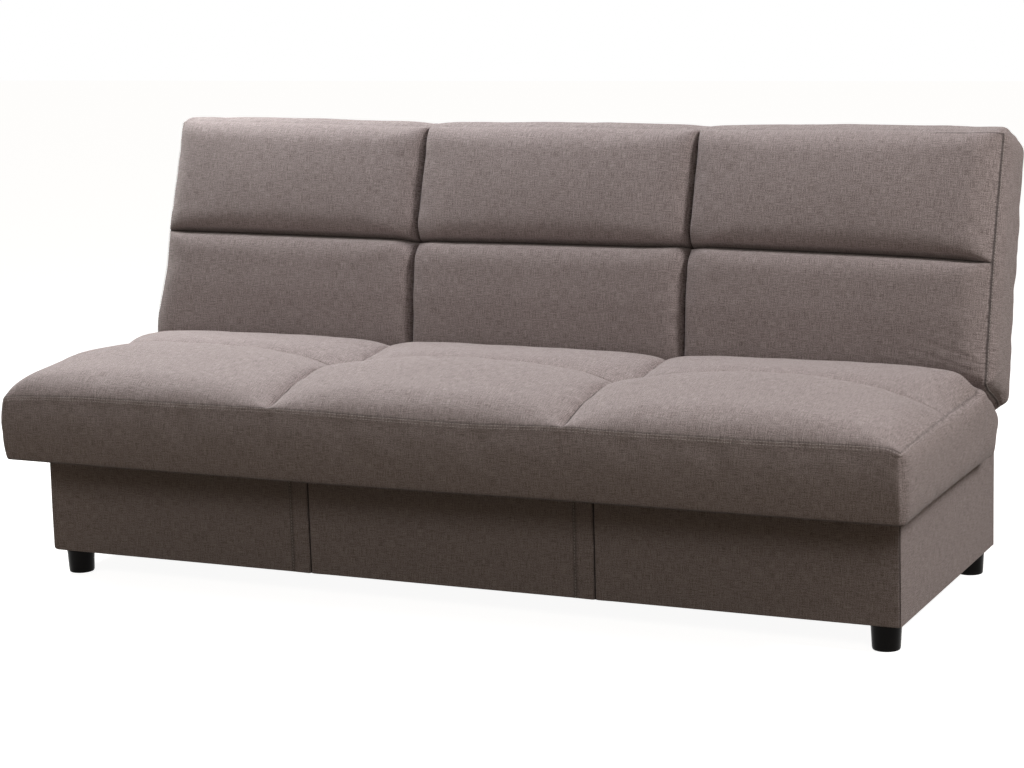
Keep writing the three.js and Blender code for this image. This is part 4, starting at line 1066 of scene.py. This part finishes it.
# Behind the last panel the cover slopes down to the tip, past these places beyond the seam and over
# the rim, and from the tip it tucks under to its hem.
SEAT_SLOPE = ((0.027, 0.148), (0.052, 0.135), (0.100, 0.111), (0.133, 0.089))
SEAT_TUCK = ((-0.004, -0.014), (-0.023, -0.046))
SEAT_HEM = (SEAT_TIP[0] - 0.034, rim + 0.0015)
SLOPE_STEPS, PANEL_STEP = 16, 0.016
REAR_CORNER = 0.030
FRONT_SEAM_SINK = (0.0018, 0.0010)
LONG_DENT, CROSS_DENT, DENT_WIDTH = 0.006, 0.005, 0.015
PINCH_DEPTH, PINCH_REACH = 0.005, 0.040
SLIT_DEPTH, SLIT_WIDTH = 0.006, 0.0013
SEAT_END_FADE, SEAT_FRONT_FADE, SETTLE_SHARE = 0.055, 0.04, 0.6
SEAT_EASE, SEAM_EASE = 0.0011, 0.0006
SEAT_DRAW, DRAW_FADE = 0.004, 0.06
SIDE_SINK = 0.0026
SIDE_INSET, SIDE_INSET_DEPTH, SIDE_REACH = 0.014, 0.42, 0.10
LEFT_CORNER_INSET = 0.005
SIDE_SWELL = 0.003
# How far each end stands out, by the place along it.
SEAT_BULGES = (((-0.45, 0.009), (0.26, 0.009)), ((-0.45, 0.009), (0, 0.008), (0.26, 0.004)))
# The front seam and hem rise and fall over the width.
SEAM_RISE = table_through((-0.956, -0.009), (-0.90, -0.005), (-0.84, -0.0024), (-0.72, 0), (-0.48, 0.0007),
                          (-0.327, 0.0025), (-0.18, 0), (-0.03, -0.0026), (0.11, -0.004), (0.305, 0.002),
                          (0.44, -0.0008), (0.70, -0.0006), (0.90, 0.002), (0.928, 0.0015), (0.943, -0.003),
                          (0.954, -0.008))
HEM_HEIGHT = table_through((-0.956, -0.003), (-0.70, -0.0045), (-0.26, -0.0055), (0.1, -0.0035),
                           (0.3, -0.0018),
                           (0.9, -0.0012))
# Height over the front seam by depth behind it, and how square the panel's shoulder is there.
LEFT_SIDE = table_through((0, 0, 4), (0.006, 0.0105, 4), (0.018, 0.0205, 4), (0.043, 0.0265, 4),
                          (0.107, 0.031, 4),
                          (0.194, 0.036, 4), (0.25, 0.031, 3.4), (CROSS_DEPTH, 0.022, 3.0), (0.40, 0.030, 3.4),
                          (0.449, 0.041, 4), (0.51, 0.038, 4), (SEAT_DEPTH, 0.034, 4))
LONG_SEAM = table_through((0, 0, 4), (0.03, 0.010, 3.4), (0.06, 0.021, 3), (0.12, 0.036, 2.7),
                          (0.21, 0.045, 2.5),
                          (0.28, 0.033, 2.4), (CROSS_DEPTH, 0.021, 2.4), (0.39, 0.030, 3), (0.51, 0.040, 4),
                          (SEAT_DEPTH, 0.034, 4))
RIGHT_SIDE = table_through((0, 0, 4), (0.03, 0.009, 3.2), (0.06, 0.014, 2.8), (0.12, 0.017, 2.4),
                           (0.21, 0.014, 2.1),
                           (CROSS_DEPTH, 0.004, 2), (0.39, 0.010, 2.4), (0.51, 0.028, 4),
                           (SEAT_DEPTH, 0.030, 4))
MID_PANEL = table_through((0, 0), (0.0035, 0.010), (0.009, 0.020), (0.018, 0.029), (0.034, 0.037),
                          (0.065, 0.045),
                          (0.12, 0.0535), (0.21, 0.0645), (0.28, 0.0665), (CROSS_DEPTH, 0.062), (0.39, 0.061),
                          (0.51, 0.051), (SEAT_DEPTH, 0.043))
SEAM_SIDES = (LEFT_SIDE, LONG_SEAM, LONG_SEAM, RIGHT_SIDE)


def slit(distance, deep=SLIT_DEPTH, wide=SLIT_WIDTH):
    """The narrow fold right at a sewn line."""
    return deep * np.exp(-(distance / wide) ** 2)


def seam_rise(x):
    return float(read_off(x, SEAM_RISE)[0]) + SEAM_EASE * ripple(x, 0, 2)


def seat_top(x, y):
    """Height of the seat's face, with its domes and its sewn dents."""
    depth = y - SEAT_FRONT
    panel = min(2, max(0, int(np.searchsorted(SEAT_SEAMS, x)) - 1))
    left, right = SEAT_SEAMS[panel], SEAT_SEAMS[panel + 1]
    within = (2 * x - left - right) / (right - left)
    low, power = read_off(depth, SEAM_SIDES[panel if within < 0 else panel + 1])
    high = read_off(depth, MID_PANEL)[0]
    raised = low + (high - low) * (1 - abs(within) ** power)
    from_end = min(x - SEAT_SEAMS[0], SEAT_SEAMS[-1] - x)
    from_long = min(abs(x - seam) for seam in SEAT_SEAMS[1:-1])
    from_cross = np.abs(y - SEAT_CROSS_SEAM)
    side, fade = quarter_round(from_end, SEAT_END_FADE), quarter_round(depth, SEAT_FRONT_FADE)
    dents = LONG_DENT * np.exp(-from_long / DENT_WIDTH) + CROSS_DENT * np.exp(-from_cross / DENT_WIDTH)
    pinch = PINCH_DEPTH * np.exp(-(from_long ** 2 + from_cross ** 2) / PINCH_REACH ** 2)
    slits = slit(from_long) + slit(from_cross)
    uneven = SEAT_EASE * np.array([ripple(2.2 * x, 2.2 * place, 7) for place in y])
    settled = seam_rise(x) * (1 - SETTLE_SHARE * fade)
    return SEAT_SEAM_Z + settled + raised * side + (uneven - dents - pinch - slits) * fade * side


def seat_border(x, drawn):
    """Places up the front, from under the seat to the front seam."""
    up = np.array(BAND_SHARES)
    hem_z = rim + float(read_off(x, HEM_HEIGHT)[0])
    seam_z = SEAT_SEAM_Z + seam_rise(x)
    y = SEAT_FRONT + BORDER_TUCK * (1 - up) ** 3 - BORDER_SWELL * (1 - (2 * up - 1) ** 2) + drawn
    y = y + BORDER_EASE * np.array([ripple(1.6 * x, 4 * share, 4) for share in up]) * np.sin(math.pi * up)
    border = [(SEAT_FRONT + SEAT_LIP + drawn, SEAT_UNDER_Z), *zip(y, hem_z + up * (seam_z - hem_z))]
    border[-1] = (border[-1][0] + FRONT_SEAM_SINK[0], border[-1][1] - FRONT_SEAM_SINK[1])
    return border


def seat_ring(x):
    """The seat's outline at x: its border, face and slope, tucked end and flat underside."""
    from_end = min(x - SEAT_SEAMS[0], SEAT_SEAMS[-1] - x)
    drawn = SEAT_DRAW * (1 - quarter_round(from_end, SEAT_DRAW))
    rounded = drawn + REAR_CORNER * (1 - quarter_round(from_end, REAR_CORNER))
    sunk = SIDE_SINK if from_end < 0.001 else 0
    front = seat_border(x, drawn)
    top_y = places_between([SEAT_FRONT, SEAT_CROSS_SEAM, SEAT_REAR], PANEL_STEP)
    top_z = seat_top(x, top_y) - sunk
    slope = path_through([(SEAT_REAR, top_z[-1]), *((SEAT_REAR + y, rim + z) for y, z in SEAT_SLOPE),
                          (SEAT_TIP[0] - 0.004, SEAT_TIP[1] + 0.006), SEAT_TIP], SLOPE_STEPS)
    slope[:, 0] -= rounded * np.linspace(0, 1, SLOPE_STEPS + 1)
    start = np.clip((top_y - SEAT_FRONT) / DRAW_FADE, 0, 1)
    top = [*zip(top_y + drawn * (1 - start), top_z), *map(tuple, slope[1:])]
    tuck = band_through([SEAT_TIP, *((SEAT_TIP[0] + y, SEAT_TIP[1] + z) for y, z in SEAT_TUCK), SEAT_HEM])
    tuck[:, 0] -= rounded
    rear = [*map(tuple, tuck[1:]), (SEAT_HEM[0] - SEAT_LIP - rounded, SEAT_UNDER_Z)]
    cols = len(top) - 1
    under = np.linspace(rear[-1][0], front[0][0], cols + 1)[1:-1]
    near = np.clip(1 - from_end / SIDE_REACH, 0, 1) ** 2
    corner = LEFT_CORNER_INSET * near if x < 0 else 0
    border_x = [x + corner * share ** 3 + math.copysign(SIDE_SWELL, x) * near * (1 - (2 * share - 1) ** 2)
                for share in BAND_SHARES]
    reach = np.clip((np.array([y for y, z in top[1:]]) - SEAT_FRONT) / SIDE_INSET_DEPTH, 0, 1)
    top_x = x - math.copysign(SIDE_INSET, x) * near * reach ** 2 * (3 - 2 * reach) + corner * (1 - reach)
    across = [x, *border_x, *top_x, *[x] * (len(rear) + len(under))]
    places = [*front, *top[1:], *rear, *((y, SEAT_UNDER_Z) for y in under)]
    return [(float(x), y, z) for x, (y, z) in zip(across, places)], cols


seat_stations = with_ends(SEAT_SEAMS)
seat_rings, seat_cols = zip(*(seat_ring(x) for x in seat_stations))
SEAT_SEAM_ROW = BAND_ROWS + 1
seat_skin = CushionSkin(seat_rings, SEAT_SEAM_ROW, seat_cols[0], SEAT_BULGES)
seat = closed_skin("seat_cushion", seat_skin.points, seat_skin.faces, seat_skin.maps, upholstery)

top_end = SEAT_SEAM_ROW + seat_skin.cols
cross_row = SEAT_SEAM_ROW + nearest(seat_skin.rings[0, SEAT_SEAM_ROW:top_end, 1], SEAT_CROSS_SEAM)
long_columns = [nearest(seat_stations, x) for x in SEAT_SEAMS[1:-1]]
under_rows = [0, 1, *range(seat_skin.count - seat_skin.cols - 1, seat_skin.count)]
puffed(seat, seat_skin.sewn([*under_rows, SEAT_SEAM_ROW, cross_row], long_columns, SEAT_SEAM_ROW, top_end))
front_seam, cross_seam, front_hem = (seat_skin.row(j) for j in (SEAT_SEAM_ROW, cross_row, 1))
side_seams = [seat_skin.column(i, SEAT_SEAM_ROW, top_end - 6) for i in (0, seat_skin.last)]
long_seams = [seat_skin.column(i, SEAT_SEAM_ROW, top_end - 4) for i in long_columns]
seat_surface = smoothed(seat)

# Room for the hinge plates, in front of and behind the hub and from the rim up.
hub_low, hub_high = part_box("hub_bolt_right")
hub = (hub_low + hub_high) / 2
link_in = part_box("link_right")[0].x
SEAT_SLOT_ROOM, SEAT_SLOT_Y, SEAT_SLOT_Z = 0.008, (-0.092, 0.09), (-0.05, 0.23)
slotted(seat, (link_in - SEAT_SLOT_ROOM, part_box("seat_arm_right")[1].x + SEAT_SLOT_ROOM),
        *((hub.y + y, rim + z) for y, z in zip(SEAT_SLOT_Y, SEAT_SLOT_Z)))
# How much painted shade darkens the cloth along each seam and along the front hem.
seat_painted_folds = [*zip(side_seams, (0.4, 0.4)), *zip(long_seams, (0.9, 0.9)), (cross_seam, 0.75),
              (front_seam, 0.4),
              (front_hem, 0.95)]
puckered(seat, seat_surface[0], side_seams, [front_seam], seat_painted_folds)

FRONT_ROWS, FRONT_STITCH_THICK = ((0, -0.0006, -0.0022), (0, -0.0024, -0.0074)), 0.0009
SIDE_ROW = (0.0012, -0.003)
front_rows = [beside(front_seam, *seat_surface, *shift) for shift in FRONT_ROWS]
stitched("seat_front_stitches", front_rows, "seat", FRONT_STITCH_THICK)
side_rows = [beside(line, *seat_surface, side * SIDE_ROW[0], 0, SIDE_ROW[1])
             for side, line in zip((-1, 1), side_seams)]
stitched("seat_side_stitches", side_rows, "seat")

STAPLE_INSET, STAPLE_THICK, STAPLE_PITCH, STAPLE_LENGTH = 0.008, 0.0013, 0.055, 0.010
dust_low, dust_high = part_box("seat_dust_cover")
dust_x, dust_y = dust_high.x - STAPLE_INSET, (dust_low.y + STAPLE_INSET, dust_high.y - STAPLE_INSET)
staple_line = [(side * dust_x, dust_y[end], dust_low.z)
               for side, end in ((-1, 0), (1, 0), (1, 1), (-1, 1), (-1, 0))]
stitched("dust_cover_staples", [staple_line], "seat", STAPLE_THICK, STAPLE_PITCH, STAPLE_LENGTH, zinc,
         "zinc_steel")
fitted(seat, "seat", "upholstery", "seat_cover", "seat_foam")


# Backrest frame.
# Softwood rails between the two steel arms, screwed to them from inside, with a net of elastic
# webbing stapled over the front.
dressed(["back_bottom_rail", "back_top_rail"], timber_x)
dressed(["back_left_rail", "back_right_rail", "back_centre_slat"], timber_z)
dressed(["back_webbing"], webbing)


# Backrest cushion.
# The same foam and cloth, drawn down much deeper at its seams, so the six panels overhang the creases
# between them, which are dark from their depth and from painted shade. A side band and a top band are sewn to
# the face all round.
LEAN = math.radians(16.4)
BACK_HALF, BACK_SHIFT = 0.949, -0.005
FOOT_S, BACK_CROSS_S, HEAD_S = 0.071, 0.321, 0.577
FACE_OUT, FACE_EDGE_OUT = 0.130, 0.118
# How far the face stands in front of a straight lean, at the two ends and over the rest.
END_BEND = ((0, -0.003), (FOOT_S, -0.002), (BACK_CROSS_S, 0.007), (HEAD_S, -0.0045))
FACE_BEND = ((0, -0.031), (FOOT_S, -0.031), (0.2, -0.006), (BACK_CROSS_S, 0.006), (HEAD_S, -0.0045))
BEND_FADE = 0.14
BACK_SWELL, BACK_ROUND, UPPER_SWELL_SHARE = 0.015, 0.032, 1.25
UPPER_CROWN, LOWER_CROWN, LOWER_TILT = 0.015, 0.004, 0.010
BACK_END_FADE, FACE_FADE, FACE_OVER, PANEL_FADE = 0.050, 0.040, 0.008, 0.25
BACK_SLIT, BACK_SLIT_WIDTH = 0.016, 0.0024
HEAD_SEAM_RISE, HEAD_SLIT_FADE = 0.002, 0.02
BACK_PINCH, BACK_PINCH_REACH = 0.018, 0.022
BACK_EASE, HEAD_EASE = 0.0010, 0.0008
BACK_BULGES = (((0, 0.020), (0.10, 0.017), (0.20, 0.010), (0.35, 0.0085), (0.60, 0.010)),
               ((0, 0.019), (0.30, 0.015), (0.60, 0.011)))
# How far the cross seam and the top stand above their straight lines over the width.
BACK_CROSS_RISE = table_through((-0.95, 0.008), (-0.4, 0.004), (-0.32, 0.001), (0, 0.003), (0.2, 0.003),
                                (0.31, 0.006), (0.5, 0.004), (0.7, 0.001), (0.85, -0.003), (0.95, -0.008))
BACK_HEAD_RISE = table_through((-0.95, 0.007), (-0.63, 0.004), (-0.34, -0.002), (0, 0), (0.31, -0.003),
                               (0.63, 0), (0.95, 0))
BACK_DRAW = 0.011
# How far the left end is pushed out near the foot, where the seat squeezes it.
LEFT_FLARE = ((0, 0.006), (0.087, 0.0075), (0.115, 0.0105), (0.143, 0.0105), (0.172, 0.0085), (0.2, 0.005),
              (0.229, 0.0015), (0.25, 0), (0.6, 0))
# The outline from the rear hem under the heel to the foot seam, and over the head to the rear hem: how
# far up the backrest and how far out, and at the head how much of the dip between panels reaches there.
REAR_OUT, HEEL_S, TOP_S = -0.0385, 0.062, 0.560
HEEL = ((HEEL_S, REAR_OUT), (0.046, -0.036), (0.037, -0.026), (0.033, -0.013))
FOOT = ((0.033, -0.013), (0.045, 0.014), (0.053, 0.052))
FOOT_OUT_SHARES = ((0.059, 0.74), (0.0635, 0.87), (FOOT_S, 1))
HEAD = ((0.5885, 0.098, 1), (0.5945, 0.060, 1), (0.5915, -0.010, 0), (0.581, -0.034, 0))
HEAD_DIP, HEAD_DIP_WIDTH = 0.0035, 0.03
FOOT_STEPS, CORNER_PAINTED_LINE_COLUMNS = 12, 10

back_thirds = [-BACK_HALF, -BACK_HALF / 3, BACK_HALF / 3 - 0.0035, BACK_HALF]
back_seams = [FOOT_S, BACK_CROSS_S, HEAD_S]


def panel_swell(place, seams):
    """How far the cloth stands over the line through its seams, as a rounded edge and as a slow crown."""
    edge, crown = np.zeros_like(place), np.zeros_like(place)
    for low, high in zip(seams, seams[1:]):
        inside = (place >= low) & (place <= high)
        near = np.minimum(place - low, high - place)
        edge = np.where(inside, quarter_round(near, BACK_ROUND), edge)
        crown = np.where(inside, np.sin(math.pi * np.clip((place - low) / (high - low), 0, 1)), crown)
    return edge, crown


def from_thirds(x):
    return min(abs(x - seam) for seam in back_thirds[1:-1])


def back_face(x, s):
    """How far the face stands out from the hinge line."""
    from_end, from_long, from_cross = BACK_HALF - abs(x), from_thirds(x), np.abs(s - BACK_CROSS_S)
    side, end_panel = quarter_round(from_end, BACK_END_FADE), quarter_round(from_end, PANEL_FADE)
    ends = quarter_round(s - FOOT_S + FACE_OVER, FACE_FADE) * quarter_round(HEAD_S + FACE_OVER - s, FACE_FADE)
    edge_x, crown_x = (float(found[0]) for found in panel_swell(np.array([float(x)]), back_thirds))
    edge_s, crown_s = panel_swell(s, back_seams)
    upper = s > BACK_CROSS_S
    crown = np.where(upper, UPPER_CROWN, LOWER_CROWN) * crown_x ** 0.6 * crown_s ** np.where(upper, 0.8, 0.6)
    tilt = np.where(upper, 0, LOWER_TILT * np.clip((s - FOOT_S) / (BACK_CROSS_S - FOOT_S), 0, 1)) * end_panel
    swell = (BACK_SWELL * np.where(upper, UPPER_SWELL_SHARE, 1.0) + tilt) * edge_x * edge_s + crown * end_panel
    slits = slit(from_long, BACK_SLIT, BACK_SLIT_WIDTH) + slit(from_cross, BACK_SLIT, BACK_SLIT_WIDTH)
    slits = slits * quarter_round(HEAD_S + HEAD_SEAM_RISE - s, HEAD_SLIT_FADE)
    pinch = BACK_PINCH * np.exp(-(from_long ** 2 + from_cross ** 2) / BACK_PINCH_REACH ** 2)
    uneven = BACK_EASE * np.array([ripple(2.4 * x, 2.4 * place, 11) for place in s])
    end_bend, bend = interpolated(s, END_BEND), interpolated(s, FACE_BEND)
    bend = end_bend + (bend - end_bend) * quarter_round(from_end, BEND_FADE)
    edge = FACE_EDGE_OUT + bend + (FACE_OUT - FACE_EDGE_OUT) * side * ends
    return edge + (swell + uneven - slits - pinch) * side


def back_ring(x):
    """The backrest's outline at x: its heel and foot, face, head and flat rear."""
    from_end = BACK_HALF - abs(x)
    drawn = BACK_DRAW * (1 - quarter_round(from_end, BACK_DRAW))
    sunk = SIDE_SINK if from_end < 0.001 else 0
    foot_out = float(back_face(x, np.array([FOOT_S]))[0])
    heel = path_through(HEEL, BAND_ROWS)
    foot = path_through([*FOOT, *((s, share * foot_out) for s, share in FOOT_OUT_SHARES)], FOOT_STEPS)
    heel[:, 0] += drawn * np.linspace(0, 1, len(heel))
    foot[:, 0] += drawn * np.linspace(1, 0.4, len(foot))
    face_s = places_between(back_seams, PANEL_STEP)
    face = [(s, float(out) - sunk) for s, out in zip(face_s, back_face(x, face_s))]
    dip = HEAD_DIP * math.exp(-(from_thirds(x) / HEAD_DIP_WIDTH) ** 2) + HEAD_EASE * ripple(1.5 * x, 0, 9)
    head_out = FACE_EDGE_OUT + FACE_BEND[-1][1]
    face[-1] = (HEAD_S + HEAD_SEAM_RISE - drawn - dip, head_out - 0.002)
    head = band_through([(HEAD_S + 2 * HEAD_SEAM_RISE - drawn - dip, head_out - 0.003),
                         *((s - drawn - share * dip, out) for s, out, share in HEAD), (TOP_S, REAR_OUT)])
    front = [*map(tuple, foot[1:]), *face[1:]]
    rear = np.linspace(TOP_S, HEEL_S, len(front) + 1)[1:-1]
    ring = [*map(tuple, heel), *front, *map(tuple, head[1:]), *((s, REAR_OUT) for s in rear)]
    rises = [float(read_off(x, table)[0]) for table in (BACK_CROSS_RISE, BACK_HEAD_RISE)]
    flare = np.clip(1 - from_end / SIDE_REACH, 0, 1) ** 2 if x < 0 else 0
    return [(x - flare * float(interpolated(s, LEFT_FLARE)),
             s + float(np.interp(s, back_seams, (0, *rises))), out)
            for s, out in ring], len(front)


def from_back(x, s, out):
    """The place in the room of a point of the backrest: s up its length, out in front of its hinge line."""
    return (x, hub.y + s * math.sin(LEAN) - out * math.cos(LEAN),
            hub.z + s * math.cos(LEAN) + out * math.sin(LEAN))


back_stations = with_ends(back_thirds)
back_rings, back_cols = zip(*(back_ring(x) for x in back_stations))
back_skin = CushionSkin(back_rings, BAND_ROWS, back_cols[0], BACK_BULGES)
back_places = [from_back(x + BACK_SHIFT, s, out) for x, s, out in back_skin.points]
back = closed_skin("back_cushion", back_places, back_skin.faces, back_skin.maps, upholstery)

face_start, face_end = BAND_ROWS + FOOT_STEPS, BAND_ROWS + back_skin.cols
back_cross_row = face_start + nearest(places_between(back_seams, PANEL_STEP), BACK_CROSS_S)
long_columns = [nearest(back_stations, x) for x in back_thirds[1:-1]]
rear_rows = [0, *range(face_end + BAND_ROWS, back_skin.count)]
puffed(back, back_skin.sewn([*rear_rows, face_end, back_cross_row], long_columns, face_start, face_end))
top_seam, cross_seam = back_skin.row(face_end), back_skin.row(back_cross_row)
# A short line just below the top seam at the right end, darkened only by painted shade.
corner_painted_line = back_skin.row(face_end - 2, back_skin.last + 1 - CORNER_PAINTED_LINE_COLUMNS)
side_seams = [back_skin.column(i, BAND_ROWS, face_end + 1) for i in (0, back_skin.last)]
long_seams = [back_skin.column(i, face_start, face_end + 1) for i in long_columns]
back_surface = smoothed(back)

# Room for the hinge plates, leaned with the backrest.
BACK_SLOT_ROOM, BACK_SLOT_LOW, BACK_SLOT_HIGH = 0.003, (-0.018, 0), (0.08, 0.072)
slotted(back, (link_in - BACK_SLOT_ROOM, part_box("back_arm_right")[1].x + BACK_SLOT_ROOM), BACK_SLOT_LOW,
        BACK_SLOT_HIGH,
        LEAN, (0, hub.y, hub.z))
# How much painted shade darkens the cloth along each seam and along the line at the top right corner.
back_painted_folds = [*zip(side_seams, (0.9, 0.9)), (top_seam, 0.2), *zip(long_seams, (1, 1)), (cross_seam, 1),
              (corner_painted_line, 0.75)]
# Folds are pulled from the lower right corner: where, and how far they reach.
low_corner = from_back(BACK_HALF - 0.06, FOOT_S + 0.04, FACE_OUT)
puckered(back, back_surface[0], side_seams, [top_seam], back_painted_folds, [(low_corner, (0.13, 0.05, 0.05))])
BACK_ROW, BACK_STITCH_THICK = (0.0026, 0.0022), 0.0011
side_rows = [beside(line, *back_surface, side * BACK_ROW[0], BACK_ROW[1], 0)
             for side, line in zip((-1, 1), side_seams)]
stitched("back_side_stitches", side_rows, "backrest", BACK_STITCH_THICK)
fitted(back, "backrest", "upholstery", "back_cover", "back_foam")


# Rear panel.
# A flat piece of the cloth closes the open rear of the backrest. Its edge is turned in and sewn to the
# bands all round.
panel_low, panel_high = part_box("back_rear_cover")
PANEL_T, PANEL_GAP, PANEL_SHARP = 0.0016, 0.0003, 50
HEM_W, HEM_STEP, PANEL_EDGE = 0.012, 0.002, 0.0012
PANEL_ROWS, PANEL_ROW_IN, PANEL_COLUMNS, PANEL_COLUMN_IN = 16, 0.03, 60, 0.04
PANEL_SAG, SAG_REACH = 0.0012, 0.05
low_s, high_s = (((z - hub.z) - REAR_OUT * math.sin(LEAN)) / math.cos(LEAN)
                 for z in (panel_low.z, panel_high.z))


def panel_section(x):
    """The panel's outline at x, as places up the backrest and out of its face."""
    from_end = panel_high.x - abs(x)
    places = np.array([low_s, low_s + PANEL_EDGE, low_s + HEM_W, low_s + HEM_W + HEM_STEP,
                       *np.linspace(low_s + PANEL_ROW_IN, high_s - PANEL_ROW_IN, PANEL_ROWS),
                       high_s - HEM_W - HEM_STEP, high_s - HEM_W, high_s - PANEL_EDGE, high_s])
    near = np.minimum(np.minimum(places - low_s, high_s - places), from_end)
    thick = PANEL_T * np.where(near < HEM_W + HEM_STEP / 2, 1.0, 0.6)
    uneven = 0.5 + 0.5 * ripple(1.4 * x, 0, 13)
    thick = thick + PANEL_SAG * uneven * np.clip((near - HEM_W) / SAG_REACH, 0, 1)
    thick[[0, -1]] *= 0.4
    inner = REAR_OUT - PANEL_GAP
    outline = [*zip(places, inner - thick), (high_s, inner), (low_s, inner)]
    return [from_back(x, s, out) for s, out in outline]


edges = [panel_high.x - step for step in (0, PANEL_EDGE, HEM_W, HEM_W + HEM_STEP, PANEL_ROW_IN)]
columns = np.linspace(PANEL_COLUMN_IN - panel_high.x, panel_high.x - PANEL_COLUMN_IN, PANEL_COLUMNS)
panel_x = sorted({*edges, *(-x for x in edges), *columns})
rear_shape = lofted([panel_section(x) for x in panel_x])
rear_panel = closed_skin("back_rear_panel", *rear_shape, upholstery, PANEL_SHARP)
fitted(rear_panel, "backrest", "upholstery", "back_rear_cover")

hem_in, hem_out = HEM_W * 0.6, REAR_OUT - PANEL_GAP - PANEL_T - THREAD_LIFT / 2
hem_x, hem_s = panel_high.x - hem_in, (low_s + hem_in, high_s - hem_in)
hem_line = [from_back(side * hem_x, hem_s[end], hem_out)
            for side, end in ((-1, 0), (1, 0), (1, 1), (-1, 1), (-1, 0))]
stitched("back_hem_stitches", [hem_line], "backrest")
